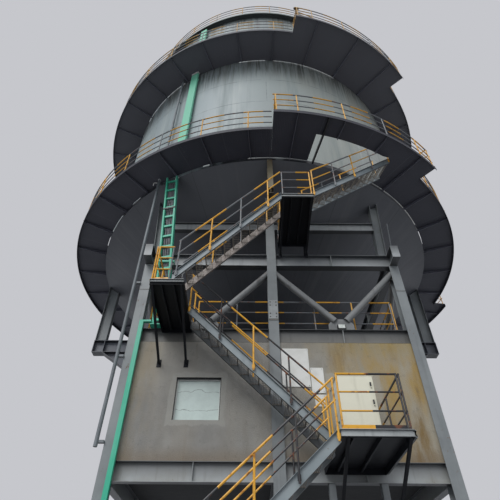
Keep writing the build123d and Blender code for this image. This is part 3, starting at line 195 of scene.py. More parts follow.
def repeated(shape, places):
    """Copies of a shape, one for each 4 x 4 place matrix: point' = R point + t."""
    points, faces, uv = shape
    places = np.asarray(places, float)
    moved = np.einsum("kab,vb->kva", places[:, :3, :3], points) + places[:, None, :3, 3]
    shift = np.arange(len(places)) * len(points)
    spread = [(f[None] + shift[:, None, None]).reshape(-1, f.shape[1]) for f in faces]
    return moved.reshape(-1, 3), spread, np.tile(uv, (len(places), 1))


def place(point, axis=(0, 0, 1)):
    """The place matrix that puts a shape's Z along an axis, at a point."""
    axis = unit(np.asarray(axis, float))
    helper = (1, 0, 0) if abs(axis[2]) > 0.9 else (0, 0, 1)
    matrix = np.eye(4)
    matrix[:3, 0] = unit(np.cross(helper, axis))
    matrix[:3, 1] = np.cross(axis, matrix[:3, 0])
    matrix[:3, 2] = axis
    matrix[:3, 3] = point
    return matrix


def build(name, shapes, material, body="root", replaces=(), smooth=False):
    """Joins shapes into one mesh piece that rides on a body."""
    points, uvs, faces, count = [], [], [], 0
    for shape_points, shape_faces, shape_uv in shapes:
        points.append(shape_points)
        uvs.append(shape_uv)
        faces += [f + count for f in shape_faces]
        count += len(shape_points)
    points, uvs = np.concatenate(points), np.concatenate(uvs)
    corners = np.concatenate([f.ravel() for f in faces])
    sizes = np.concatenate([np.full(len(f), f.shape[1]) for f in faces])
    mesh = bpy.data.meshes.new(name)
    mesh.vertices.add(count)
    mesh.vertices.foreach_set("co", points.astype(np.float32).ravel())
    mesh.loops.add(len(corners))
    mesh.loops.foreach_set("vertex_index", corners.astype(np.int32))
    mesh.polygons.add(len(sizes))
    mesh.polygons.foreach_set("loop_start", (np.cumsum(sizes) - sizes).astype(np.int32))
    layer = mesh.uv_layers.new(name="run")
    layer.uv.foreach_set("vector", uvs[corners].astype(np.float32).ravel())
    mesh.update(calc_edges=True)
    mesh.validate()
    mesh.polygons.foreach_set("use_smooth", np.full(len(mesh.polygons), smooth))
    mesh.materials.append(material)
    piece = bpy.data.objects.new(name, mesh)
    bpy.context.scene.collection.objects.link(piece)
    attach(piece, body)
    if replaces:
        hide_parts(*replaces)


def polar(radius, bearing, level):
    """Point at a radius and a bearing in degrees from +X."""
    return np.array([radius * cos(radians(bearing)), radius * sin(radians(bearing)), level])


def arc(radius, start, end, level):
    """Points along an arc between two bearings."""
    count = max(2, ceil(abs(end - start) / ARC_STEP) + 1)
    turn = np.radians(np.linspace(start, end, count))
    return np.stack([radius * np.cos(turn), radius * np.sin(turn), turn * 0 + level], axis=-1)


# Finishes


def srgb(code):
    """Linear colour of an sRGB hex code."""
    parts = [int(code[i:i + 2], 16) / 255 for i in (1, 3, 5)]
    return (*[c / 12.92 if c <= 0.04045 else ((c + 0.055) / 1.055) ** 2.4 for c in parts], 1.0)


def add_node(tree, kind, *values, out=0, inputs=None, **settings):
    """Adds a node with its settings and links, and gives one of its outputs. A kind may be
    followed by its operation. Values go to the first inputs in order, and inputs names others;
    each is a socket or a constant."""
    kind, *operation = kind.split()
    made = tree.nodes.new("ShaderNode" + kind)
    if operation:
        made.operation = operation[0]
    for key, value in settings.items():
        setattr(made, key, value)
    for key, value in {**dict(enumerate(values)), **(inputs or {})}.items():
        if isinstance(value, bpy.types.NodeSocket):
            tree.links.new(value, made.inputs[key])
        else:
            made.inputs[key].default_value = value
    return made.outputs[out] if len(made.outputs) else made


def fresh(owner):
    """Empties the nodes of a material or world, and gives the function that adds to them."""
    owner.use_nodes = True
    owner.node_tree.nodes.clear()
    return partial(add_node, owner.node_tree)


EASED = {"interpolation_type": "SMOOTHSTEP"}


def blotches(node, spot, scale, low, high, share=1.0, stretch=(1, 1, 1), detail=5.0, rough=0.6):
    """Where a layer shows: fractal noise with so many features a metre, eased from 0 where it is
    low to the share where it is high. Stretch draws it out along an axis, as rain does."""
    drawn = node("VectorMath MULTIPLY", spot, stretch)
    settings = {"Vector": drawn, "Scale": scale, "Detail": detail, "Roughness": rough}
    cloud = node("TexNoise", inputs=settings)
    return node("MapRange", cloud, low, high, 0.0, share, **EASED)


def painted_shade_below(node, share=0.85):
    """Where painted shade goes: the faces that look down, darkened up to the share."""
    down = node("SeparateXYZ", node("NewGeometry", out="Normal"), out=2)
    return node("MapRange", down, -0.35, -0.75, 0.0, share)


def near_line(node, value, pitch, width, offset=0.0):
    """1 on lines that repeat at a pitch, and 0 away from them. The width is a share of the pitch."""
    turns = node("Math MULTIPLY_ADD", value, 1 / pitch, offset)
    saw = node("Math FRACT", turns)
    off = node("Math SUBTRACT", saw, 0.5)
    away = node("Math ABSOLUTE", off)
    return node("MapRange", away, 0.5 - width, 0.5 - width / 3, **EASED)


def finish(name, surface, roughness=0.5, metallic=0.0, bump=0.2, specular=0.5, nodes=""):
    """A material from surface(node, spot, blotch), which gives its ground colour, the layers over
    it as (share, colour), and its sheen and relief, or None. A share may be two factors, and
    relief is a height in metres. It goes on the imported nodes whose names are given."""
    material = bpy.data.materials.new(name)
    node = fresh(material)
    spot = node("TexCoord", out="Object")
    ground, layers, sheen, relief = surface(node, spot, partial(blotches, node, spot))
    colour = srgb(ground)
    for share, over in layers:
        if isinstance(share, tuple):
            share = node("Math MULTIPLY", *share)
        colour = node("Mix", share, out=2, inputs={6: colour, 7: srgb(over)}, data_type="RGBA")
    shader_inputs = {
        "Base Color": colour,
        "Metallic": metallic,
        "Roughness": roughness if sheen is None else sheen,
        "Specular IOR Level": specular,
    }
    if relief is not None:
        raised = {"Height": relief, "Strength": bump, "Distance": 0.02}
        shader_inputs["Normal"] = node("Bump", inputs=raised)
    shader = node("BsdfPrincipled", inputs=shader_inputs)
    node("OutputMaterial", inputs={"Surface": shader})
    for node_name in nodes.split():
        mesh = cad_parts[node_name].data
        mesh.materials.clear()
        mesh.materials.append(material)
    return material


def weathered(
    base, patch, stain, streak="#2b2c2e", rust_from=0.6, streak_share=0.3, size=1.0, grime=0.85,
    top=None,
):
    """Site-brushed alkyd paint on rolled steel: cloudy patches a hand wide, runs of dirt drawn
    downwards, rust that breaks through in flecks, and painted shade on the faces that look down.
    It gives the eye a flat grey. On a beam with its top given, painted shade darkens the web under the
    flange."""
    def surface(node, spot, blotch):
        clouds = blotch(0.9 * size, 0.35, 0.7)
        runs = blotch(5.0 * size, 0.52, 0.75, streak_share, (1, 1, 0.08), 4.0)
        old = blotch(0.9 * size, 0.5, 0.62)
        flecks = blotch(9.0 * size, rust_from, rust_from + 0.1, old, detail=6.0, rough=0.7)
        sheen = node("MapRange", flecks, 0.0, 1.0, 0.48, 0.75)
        # Painted shade on the faces that look down
        under = painted_shade_below(node, grime)
        layers = [(clouds, patch), (runs, streak), (flecks, stain), (under, "#1a1b1e")]
        # Painted shade on the web under the top flange
        if top:
            level = node("SeparateXYZ", spot, out=2)
            flange_shade = node("MapRange", level, top - 0.36, top - 0.05, 0.0, 0.75)
            below = node("Math LESS_THAN", level, top + 0.02)
            layers.append(((flange_shade, below), "#45484b"))
        return base, layers, sheen, flecks
    return surface


def banded(first, second, rust="#8a4a1c"):
    """Brushed gloss enamel in alternate bands, one unit of the run's UV each, worn to rust, most
    on the lowest flight and landing, where hands and boots pass."""
    def surface(node, spot, blotch):
        run = node("UVMap", uv_map="run")
        along = node("SeparateXYZ", run)
        turn = node("Math MODULO", along, 2.0)
        second_band = node("Math GREATER_THAN", turn, 1.0)
        level = node("SeparateXYZ", spot, out=2)
        low = node("MapRange", level, 6.6, 5.8, 0.62, 0.9)
        worn = blotch(6.0, 0.52, 0.68, low, detail=5.0, rough=0.65)
        sheen = node("MapRange", worn, 0.0, 0.7, 0.36, 0.65)
        return first, [(second_band, second), (worn, rust)], sheen, worn
    return surface


def bracket_paint(node, spot, blotch):
    """Dark primer, painted paler than the deck so that the brackets show as light lines against it, a
    painted highlight, and black on the beam that crosses the stairwell.
    """
    # Paler than the deck: painted highlight on the brackets
    primer = weathered("#6c6d78", "#5f606a", "#54402f", grime=0.0)
    ground, layers, sheen, relief = primer(node, spot, blotch)
    bearing = radians(STAIRWELL_BEAM)
    normal = (sin(bearing), -cos(bearing), 0)
    off = node("VectorMath DOT_PRODUCT", spot, normal, out=1)
    near = node("Math COMPARE", off, 0.0, 0.09)
    level = node("SeparateXYZ", spot, out=2)
    lower = node("Math LESS_THAN", level, BETWEEN_RINGS)
    return ground, [*layers, ((near, lower), "#17181b")], sheen, relief


def shell_plate(node, spot, blotch):
    """Zinc-grey paint on rolled courses: bands of plate 2.13 m high, butt seams staggered by half
    a plate, pale wash marks, a painted shade that darkens the shell below each walkway, and black
    drips that run down from the walkway above."""
    across, depth, level = node("SeparateXYZ", spot).node.outputs
    right = node("MapRange", across, -3.0, 5.0, **EASED)
    tint = blotch(0.2, 0.35, 0.65, 0.6)
    wash = blotch(1.6, 0.46, 0.72, 0.8, (1, 1, 0.06), 6.0)
    pale = blotch(2.4, 0.55, 0.75, 0.55, (1, 1, 0.05), 6.0)
    rise = node("Math SUBTRACT", level, COURSE_START)
    course = node("Math DIVIDE", rise, COURSE)
    ring_seam = near_line(node, rise, COURSE, 0.014)
    bearing = node("Math ARCTAN2", depth, across)
    number = node("Math FLOOR", course)
    turned = node("Math MULTIPLY_ADD", number, pi / SHELL_PLATES, bearing)
    butt_seam = near_line(node, turned, 2 * pi / SHELL_PLATES, 0.0035)
    seams = node("Math MAXIMUM", ring_seam, butt_seam)
    broken = blotch(1.6, 0.36, 0.6, 0.75)
    # Painted shade below each walkway, which also bounds where the drips run
    below_lower = node("MapRange", level, 21.6, 24.2, **EASED)
    below_upper = node("MapRange", level, 27.6, 30.4, 0.0, 0.7, **EASED)
    is_lower = node("Math LESS_THAN", level, UPPER_FLOOR + 0.05)
    reach = node("Mix", is_lower, inputs={2: below_upper, 3: below_lower})
    wide_drip = blotch(3.2, 0.44, 0.62, 0.8, (1, 1, 0.05), 6.0, 0.7)
    thin_drip = blotch(9.0, 0.5, 0.6, 0.9, (1, 1, 0.03), 4.0, 0.7)
    # Darker at the foot, under the lower walkway
    foot = node("Math LESS_THAN", level, LOWER_FLOOR + 0.02)
    foot_blotches = blotch(0.45, 0.4, 0.5)
    grain = blotch(30.0, 0.3, 0.7, detail=3.0)
    relief = node("Math MULTIPLY_ADD", seams, -5.0, grain)
    sheen = node("MapRange", wash, 0.0, 0.8, 0.42, 0.65)
    layers = [
        (right, "#9c9c92"), (tint, "#949e9d"), (wash, "#7c8786"), (pale, "#a9b0ac"),
        ((seams, broken), "#565c5b"), ((reach, 0.38), "#6e7473"), ((wide_drip, reach), "#565752"),
        ((thin_drip, reach), "#3c3d3a"), ((foot, foot_blotches), "#2b2d31"),
    ]
    return "#909c9f", layers, sheen, relief


def hopper_plate(node, spot, blotch):
    """Bitumen-grey paint on a cone of plates, painted darker than it is to carry the shade under
    the vessel: dirt drawn down the slope in fine radial lines, with a weld seam along each plate."""
    across, depth = node("SeparateXYZ", spot).node.outputs[:2]
    flat = node("VectorMath MULTIPLY", spot, (1, 1, 0))
    around = node("VectorMath NORMALIZE", flat)
    rays = blotches(node, around, 14.0, 0.5, 0.7, 0.45, detail=7.0, rough=0.7)
    clouds = blotch(0.5, 0.35, 0.7)
    bearing = node("Math ARCTAN2", depth, across)
    seam = near_line(node, bearing, 2 * pi / HOPPER_PLATES, 0.006)
    flecks = blotch(7.0, 0.62, 0.74, 0.5, detail=6.0, rough=0.7)
    layers = [(clouds, "#404247"), (rays, "#5c5e60"), ((seam, 0.6), "#232529"), (flecks, "#4d3d32")]
    # The ground is darker than the paint: painted shade
    return "#494b50", layers, None, rays


def chequer(node, spot):
    """Relief of chequer plate: raised bars 30 mm long, laid two ways by turns. They are drawn
    twice as coarse as real ones, or none would show at this distance."""
    across, along = node("SeparateXYZ", spot).node.outputs[:2]
    heights = []
    for operation in ("ADD", "SUBTRACT"):
        slant = node(f"Math {operation}", across, along)
        turns = node("Math MULTIPLY", slant, 16 * pi)
        heights.append(node("Math SINE", turns))
    both = node("Math MULTIPLY", *heights)
    return node("MapRange", both, 0.25, 0.5, **EASED)


def deck_plate(node, spot, blotch):
    """Chequer plate under dark primer, painted darker than it is so that the faces that look down keep
    their shade, in panels that each took the brush a little differently, with a paler dust line at
    each seam. The upper ring is bleached to a lighter grey."""
    across, depth, level = node("SeparateXYZ", spot).node.outputs
    bearing = node("Math ARCTAN2", depth, across)
    turn = node("Math MULTIPLY", bearing, DECK_PANELS / (2 * pi))
    number = node("Math FLOOR", turn)
    panel = node("TexWhiteNoise", inputs={"W": number}, noise_dimensions="1D")
    clouds = blotch(0.8, 0.4, 0.75, 0.7)
    line = near_line(node, bearing, 2 * pi / DECK_PANELS, 0.009)
    flecks = blotch(8.0, 0.6, 0.72, 0.5, detail=6.0, rough=0.7)
    upper = node("MapRange", level, BETWEEN_RINGS, BETWEEN_RINGS + 2.0, 0.0, 0.5)
    layers = [
        ((panel, 0.55), "#35363f"), (clouds, "#3b3b44"), ((line, 0.35), "#5a5b62"),
        (flecks, "#4b3c33"), (upper, "#6b6b70"),
    ]
    return "#2f3039", layers, None, chequer(node, spot)


def open_grating(node, spot, blotch):
    """Galvanised bar grating gone dull: zinc with brown rust round the welds, and black mud from
    boots, thickest on the two lower flights."""
    clouds = blotch(6.0, 0.35, 0.65)
    rust = blotch(22.0, 0.5, 0.66, 0.6, detail=6.0, rough=0.7)
    level = node("SeparateXYZ", spot, out=2)
    low = node("MapRange", level, 8.8, 8.4, 0.0, 0.5)
    mud = blotch(17.0, 0.56, 0.7, 0.45)
    layers = [(clouds, "#7d7871"), (rust, "#6f5647"), (mud, "#4a4540"), (low, "#3a3734")]
    return "#918c83", layers, None, rust


def stringer_paint(node, spot, blotch):
    """Alkyd paint on the stair channels: blue-grey outside, black mud inside, and on the third
    flight's inner channel worn to pinkish zinc speckled with rust. Painted shade darkens the faces
    that look down."""
    depth, level = node("SeparateXYZ", spot).node.outputs[1:]
    outer_lane = node("Math COMPARE", depth, -8.18, 0.1)
    inner_lane = node("Math COMPARE", depth, -7.0, 0.1)
    third = node("Math COMPARE", level, 10.3, 1.9)
    inner_side = node("Math MULTIPLY", outer_lane, third)
    first = node("Math LESS_THAN", level, 4.9)
    first_side = node("Math MULTIPLY", outer_lane, first)
    muddy = node("Math MAXIMUM", inner_lane, first_side)
    clouds = blotch(1.2, 0.35, 0.7)
    runs = blotch(4.0, 0.55, 0.75, 0.35, (1, 1, 0.2))
    speckle = blotch(26.0, 0.48, 0.62, inner_side, detail=6.0, rough=0.75)
    flecks = blotch(8.0, 0.64, 0.72, 0.6, detail=6.0, rough=0.7)
    layers = [
        (clouds, "#7e888c"), (runs, "#595f64"), (inner_side, "#968d86"), (speckle, "#6b5a50"),
        # The last layer is painted shade on the faces that look down
        ((muddy, 0.8), "#2c2d2f"), (flecks, "#6a4d38"), (painted_shade_below(node), "#1f2124"),
    ]
    return "#8d9699", layers, None, clouds


def wall_render(node, spot, blotch):
    """Cement render trowelled on panels: clouded grey, ochre water stains under the roof beam,
    a paler skim round each window and a dark splash line at the foot."""
    across, _, level = node("SeparateXYZ", spot).node.outputs
    clouds = blotch(0.7, 0.34, 0.68, detail=7.0)
    trowel = blotch(3.0, 0.3, 0.75, stretch=(1, 1, 0.35), detail=6.0)
    right = node("MapRange", across, 0.2, 2.8, 0.05, 1.0, **EASED)
    left_edge = node("MapRange", across, -2.9, -3.6, 0.0, 0.3, **EASED)
    sides = node("Math MAXIMUM", right, left_edge)
    ochre = blotch(0.9, 0.4, 0.62, sides, (1, 1, 0.35))
    brown = blotch(1.7, 0.5, 0.68, sides, (1, 1, 0.22), 6.0)
    streaks = blotch(2.4, 0.56, 0.74, 0.45, (1, 1, 0.1))
    mottle = blotch(8.0, 0.55, 0.7, 0.3, detail=6.0, rough=0.7)
    offsets = []
    for value, middle, half in zip((across, level), (WINDOW_X, WINDOW_LEVEL), WINDOW_HALF):
        size = node("Math ABSOLUTE", value)
        off = node("Math SUBTRACT", size, middle)
        size = node("Math ABSOLUTE", off)
        offsets.append(node("Math SUBTRACT", size, half))
    outside = node("Math MAXIMUM", *offsets)
    ragged = node("Math MULTIPLY_ADD", trowel, 0.1, outside)
    skim = node("MapRange", ragged, 0.2, 0.16, 0.0, 0.5)
    foot = node("MapRange", level, 5.35, 4.95, 0.0, 0.5, **EASED)
    head = node("MapRange", level, 7.5, 8.15, 0.0, 0.45, **EASED)
    grit = blotch(60.0, 0.3, 0.7, detail=3.0)
    relief = node("Math MULTIPLY_ADD", trowel, 0.6, grit)
    layers = [
        (clouds, "#7f7e7b"), ((trowel, 0.3), "#a3a19c"), ((right, 0.45), "#a3977a"),
        (ochre, "#a08650"), (brown, "#7d6742"), ((head, right), "#94824f"), (streaks, "#7b7062"),
        (mottle, "#5f5d5a"), (skim, "#a5a49d"), (foot, "#75644f"),
        # Painted shade on the faces that look down
        (painted_shade_below(node, 0.95), "#17181a"),
    ]
    return "#97958f", layers, None, relief


def pane_glass(node, spot, blotch):
    """Float glass with a pale ground colour, a painted reflection of a pale sky, under a film of wet
    dust, and two fine wavy cracks.
    """
    dust = blotch(2.5, 0.35, 0.7, detail=6.0)
    sheen = node("MapRange", dust, 0.0, 1.0, 0.08, 0.3)
    level = node("SeparateXYZ", spot, out=2)
    bend = node("TexNoise", inputs={"Vector": spot, "Scale": 3.0, "Detail": 3.0})
    wavy = node("Math MULTIPLY_ADD", bend, 0.3, level)
    crack = near_line(node, wavy, 0.52, 0.018, 0.77)
    # The pale ground is a painted sky reflection
    return "#d6e4de", [(dust, "#c8d6d0"), ((crack, 0.6), "#5a6460")], sheen, None


def cabinet_enamel(node, spot, blotch):
    """Powder coat over sheet steel: cream, with painted bluish sky light on the side that faces left,
    a fine orange peel and dust run down from the top."""
    dust = blotch(4.0, 0.5, 0.78, 0.4, (1, 1, 0.15))
    # Painted bluish sky light on the faces that look left
    side = node("SeparateXYZ", node("NewGeometry", out="Normal"))
    facing = node("MapRange", side, -0.5, -0.8)
    peel = blotch(120.0, 0.3, 0.7, detail=2.0)
    return "#e0ddc9", [(facing, "#d8dfdb"), (dust, "#b4b19c")], None, peel


def zinc_coat(node, spot, blotch):
    """Hot-dip zinc: spangles a few centimetres wide, dulled to pale grey."""
    spangle = node("TexVoronoi", out="Color", inputs={"Vector": spot, "Scale": 30.0})
    shade = node("SeparateColor", spangle)
    sheen = node("MapRange", shade, 0.0, 1.0, 0.35, 0.6)
    return "#8a9092", [(shade, "#adb3b4")], sheen, None


def tray_enamel(base, bleached):
    """Glass-fibre cable tray, moulded in green resin and bleached where rain runs."""
    def surface(node, spot, blotch):
        wash = blotch(2.5, 0.4, 0.7, stretch=(1, 1, 0.2))
        fibre = blotch(40.0, 0.3, 0.7, stretch=(1, 1, 0.1), detail=3.0)
        level = node("SeparateXYZ", spot, out=2)
        high = node("MapRange", level, 15.0, 16.0, 0.0, 0.8)
        return base, [(wash, bleached), (high, "#7cc4a6")], None, fibre
    return surface


def plain_grain(base, shade, scale, grime=0.0):
    """One colour that drifts to a shade of itself in soft clouds, with painted shade on the faces that
    look down.
    """
    def surface(node, spot, blotch):
        clouds = blotch(scale, 0.35, 0.7)
        # Painted shade below; the concrete slab takes almost all of it
        return base, [(clouds, shade), (painted_shade_below(node, grime), "#1a1b1c")], None, clouds
    return surface


# Brushed alkyd on rolled steel is a flat grey: paler on what rain washes, brown under the eaves,
# slate on the side legs, and near black on the landings, where dark primer also carries their painted
# shade; every face that looks down is darkened with painted shade
finish(
    "frame_alkyd_grey", weathered("#858a8b", "#767b7d", "#6d4a33"),
    nodes="front_columns rear_columns side_columns centre_column upper_legs landing_posts",
)
finish(
    "beam_alkyd_pale",
    weathered("#9fa3a4", "#8f908b", "#7a5a3f", "#6f6a60", streak_share=0.45, top=FLOOR_TOP),
    nodes="floor_beams",
)
finish(
    "girder_alkyd_pale",
    weathered("#9ca0a1", "#8b8f90", "#6b4b36", "#55585a", streak_share=0.45, top=GIRDER_TOP),
    nodes="girders cross_beams leg_beams",
)
EAVES_PAINT = finish(
    "eaves_alkyd_brown",
    weathered("#73726d", "#63625e", "#54402f", "#474643", streak_share=0.5, top=ROOF_TOP),
    nodes="roof_beams",
)
finish("bracket_alkyd_dark", bracket_paint, nodes="lower_brackets upper_brackets")
finish(
    "brace_alkyd_grey", weathered("#828484", "#6e7070", "#6b4b36", streak_share=0.5, grime=0.5),
    nodes="frame_braces",
)
finish(
    "stub_alkyd_rusted", weathered("#8b826c", "#77705e", "#7c5428", rust_from=0.5),
    nodes="outriggers",
)
finish("side_leg_alkyd_slate", weathered("#5c626c", "#6c6d74", "#5d4636"), nodes="side_girders")
# Dark primer that also carries painted shade on the walkways
DECK_PAINT = finish(
    "deck_chequer_primer", deck_plate, 0.62, bump=0.3, nodes="lower_walkway upper_walkway"
)
# Near black: dark primer that also carries painted shade under the landings, their joists and the roof
# deck
UNDER_PAINT = finish(
    "landing_primer_black", weathered("#191b20", "#131519", "#3a2d24", "#101114", grime=0.75),
    specular=0.15, nodes="low_landing mid_landing high_landing rear_landing roof_deck",
)
RIM_PAINT = finish(
    "fascia_alkyd_pale", weathered("#a6aaaa", "#969a9a", "#6b4b36", "#5d5f60", size=2.0)
)
RAIL_PAINT = finish("rail_band_enamel", banded("#dda32c", "#6c7073"), bump=0.15)
HIGH_RAIL_PAINT = finish("high_rail_band_enamel", banded("#bd9550", "#85888a"), bump=0.15)
LANDING_PAINT = finish("landing_band_enamel", banded("#dda32c", "#26272a"), bump=0.15)
finish("shell_zinc_grey_paint", shell_plate, bump=0.06, nodes="lower_shell upper_shell inlet_nozzle")
finish("hopper_bitumen_grey", hopper_plate, 0.55, bump=0.1, nodes="hopper hopper_outlet")
finish(
    "roof_plate_grey", weathered("#8d9492", "#7d8482", "#6d4f38", size=0.6),
    nodes="vessel_roof insulator_housings",
)
finish(
    "cement_render", wall_render, 0.9, bump=0.35,
    nodes="front_wall rear_wall left_wall right_wall",
)
finish(
    "cast_concrete", plain_grain("#63625f", "#555450", 1.4, 0.97), 0.9, bump=0.3, nodes="floor_slab"
)
TREAD_ZINC = finish(
    "tread_bar_grating", open_grating, 0.6, bump=0.05,
    nodes="flight_one_treads flight_two_treads flight_three_treads flight_four_treads",
)
finish("stringer_alkyd_blue_grey", stringer_paint, 0.45, bump=0.1, nodes="stair_stringers")
CABINET_COAT = finish(
    "cabinet_powder_coat", cabinet_enamel, 0.4, bump=0.05, nodes="cabinet cabinet_door"
)
WINDOW_PAINT = finish(
    "window_frame_white", weathered("#e8ece7", "#dde1dc", "#7a6450", size=2.0),
    nodes="window_frames",
)
finish("door_alkyd_grey", weathered("#868b88", "#777c79", "#6d4a33", size=1.6), nodes="rear_door")
finish("pane_float_glass", pane_glass, 0.15, nodes="window_panes")
finish(
    "tray_green_resin", tray_enamel("#2fae8c", "#58b89c"), 0.45, bump=0.1,
    nodes="cable_trays cable_ladder",
)
PIPE_PAINT = finish(
    "pipe_alkyd_grey", weathered("#72787c", "#62686c", "#6d4a33", size=2.0), nodes="riser_pipe"
)
ZINC = finish("hot_dip_zinc", zinc_coat, 0.45, metallic=0.6, nodes="access_ladders")
# Fittings: PVC sheath and nylon stay dull and dark, and enamel, pressed glass and acrylic are
# glossy, so that they catch the sky
CABLE_SHEATH = finish("cable_grey_sheath", plain_grain("#6a6d70", "#4d4f53", 8.0), 0.6, bump=0.1)
STRAP_NYLON = finish("strap_black_nylon", plain_grain("#1c1d1f", "#2a2b2d", 20.0), 0.45, bump=0.1)
BOARD_PAINT = finish("board_white_enamel", plain_grain("#dcdcd8", "#d0d0ca", 3.0), 0.35, bump=0.02)
LAMP_GLASS = finish("lamp_prism_glass", plain_grain("#dfe2dc", "#c2c8c2", 12.0), 0.2, bump=0.1)
LENS_GREEN = finish("lens_green_acrylic", plain_grain("#1f6a4c", "#16523a", 30.0), 0.2, bump=0.02)

# Handrails: round tubes in yellow and grey bands
RAIL = 0.024
LOW_RAIL = 0.019
UPRIGHT = 0.022
RAIL_TOP = 1.179
RAIL_LEVELS = ((RAIL_TOP, RAIL), (0.779, LOW_RAIL), (0.379, LOW_RAIL))
RAIL_INSET = 0.045
FOOT_PLATE = (0.1, 0.09, 0.01)
RING_BAND = 0.75
LEVEL_BAND = 0.9
LOWER_PATH = ((9.94, -89.6, -49), (9.25, -49, 8), (9.94, 8, 49), (9.25, 49, 270.4))
UPPER_PATH = ((10.25, -81.9, -43.5), (9.47, -43.5, 12), (10.25, 12, 52), (9.47, 52, 278.1))
TOP_PATH = ((8.23, 77.4, 432.6),)
PANEL_SPAN = 24
POST_SPAN = 12
FIRST_BAND = 0.5
SECOND_BAND = 1.5


def joined(maker, rows):
    """The shapes that a maker gives for each row of values, in one list."""
    return [shape for row in rows for shape in maker(*row)]


def rails(name, shapes, paint, *replaced):
    """A piece of handrail in safety paint, in place of plain ones."""
    build(name, shapes, paint, replaces=replaced)


def upright(point, floor, phase):
    """A post of tube on a small foot plate."""
    x, y = point[:2]
    return [
        tube((x, y, floor), (x, y, floor + RAIL_TOP), UPRIGHT, phase=phase),
        slab((x, y, floor + FOOT_PLATE[2] / 2), FOOT_PLATE, phase=phase),
    ]


def ring_rails(path, floor, returns):
    """Curved rails along each stretch, uprights, and straight returns where the walkway widens."""
    shapes = []
    for outer, start, end in path:
        for height, radius in RAIL_LEVELS:
            line = arc(outer - RAIL_INSET, start, end, floor + height)
            shapes.append(carried(line, round_outline(radius), band=RING_BAND))
        count = ceil((end - start) / PANEL_SPAN)
        span = (end - start) / count
        posts = max(1, round(span / POST_SPAN))
        for i in range(count * posts):
            bearing = start + (i + 0.5) * span / posts
            phase = SECOND_BAND if i % 3 == 2 else FIRST_BAND
            shapes += upright(polar(outer - RAIL_INSET, bearing, 0), floor, phase)
    radii = sorted({outer - RAIL_INSET for outer, _, _ in path})
    for bearing in returns:
        for height, radius in RAIL_LEVELS:
            ends = [polar(r, bearing, floor + height) for r in (radii[0], radii[-1])]
            shapes.append(tube(*ends, radius, band=LEVEL_BAND))
        for r in radii:
            shapes += upright(polar(r, bearing, 0), floor, FIRST_BAND)
    return shapes


rails("lower_ring_rails", ring_rails(LOWER_PATH, LOWER_FLOOR, (-89, -49.6, 8.6, 48.4)),
      RAIL_PAINT, "lower_rail")
rails("upper_ring_rails", ring_rails(UPPER_PATH, UPPER_FLOOR, (-81.3, -44.1, 12.6, 51.4)),
      HIGH_RAIL_PAINT, "upper_rail")
rails("roof_edge_rails", ring_rails(TOP_PATH, TOP_FLOOR, ()), HIGH_RAIL_PAINT, "top_rail")

# Flights as (name, foot, head, band length, lead into the first band, pitch of the posts, and
# 1 where the first post is in the second colour)
FLIGHTS = (
    ("flight_one", (-3.9, -8.625, 0), (1.05, -8.625, 4.8), 1.35, 1.84, 0.811, 0),
    ("flight_two", (1.17, -7.45, 4.8), (-2.4, -7.45, 8.59), 1.35, 0.72, 0.871, 0),
    ("flight_three", (-2.68, -8.525, 8.59), (0.25, -8.525, 12.1), 1.25, 1.92, 0.82, 1),
    ("flight_four", (1.15, -8.39, 12.1), (4.459, -7.49, 15.5), 1.2, 0.2, 0.836, 0),
)
RISER = 0.27
STAIR_HALF = 0.4463
STAIR_RAILS = ((1.077, RAIL), (0.607, LOW_RAIL))
RAIL_LAP = 0.03
POST_INSET = 0.042
POST_FOOT = -0.19
CLIP_LEVEL = -0.09
CLIP = (0.07, 0.012, 0.11)
TREAD_HALF = 0.3645
TREAD_NOSE = 0.02
TREAD_DROP = 0.205
TREAD_GAP = 0.03
FLAT_BAR = (0.006, 0.025)
FIRST_BAR = 0.06
BAR_PITCH = 0.04
ROD = (0.006, 0.006)
ROD_START = 0.02
ROD_LEVEL = -0.004
ROD_PITCH = 0.1
END_PLATE = (0.006, 0.03)
NOSING_BAR = (0.03, 0.036)


def flight_measure(foot, head):
    """A flight's foot, its directions along and across, and its length, rise and going."""
    foot, head = np.array(foot, float), np.array(head, float)
    run = (head - foot) * (1, 1, 0)
    length = np.linalg.norm(run)
    run = run / length
    steps = round((head[2] - foot[2]) / RISER)
    rise = (head[2] - foot[2]) / steps
    return foot, run, np.cross((0, 0, 1), run), length, rise, length / (steps - 1)


def stair_rails(foot, head, band, lead, pitch, turned):
    """Two sloping tubes on each side of a flight, on posts bolted to the stringer's face."""
    foot, run, across, length, rise, going = flight_measure(foot, head)
    slope = rise / going
    first, last = POST_INSET, length - POST_INSET

    def beside(hand, along, height):
        """Point on one side of the flight, at a height above its nosing line."""
        level = np.array((0, 0, slope * along + rise + height))
        return foot + across * hand * STAIR_HALF + run * along + level

    shapes = []
    for hand in (-1, 1):
        for height, radius in STAIR_RAILS:
            ends = beside(hand, first - RAIL_LAP, height), beside(hand, last + RAIL_LAP, height)
            shapes.append(tube(*ends, radius, band=band, lead=lead))
        for i in range(int((last - first) / pitch + 0.02) + 1):
            along = first + i * pitch
            phase = SECOND_BAND if (i + turned) % 2 else FIRST_BAND
            ends = beside(hand, along, POST_FOOT), beside(hand, along, STAIR_RAILS[0][0])
            shapes.append(tube(*ends, UPRIGHT, phase=phase))
            shapes.append(slab(beside(hand, along, CLIP_LEVEL), CLIP, phase=phase))
    return shapes


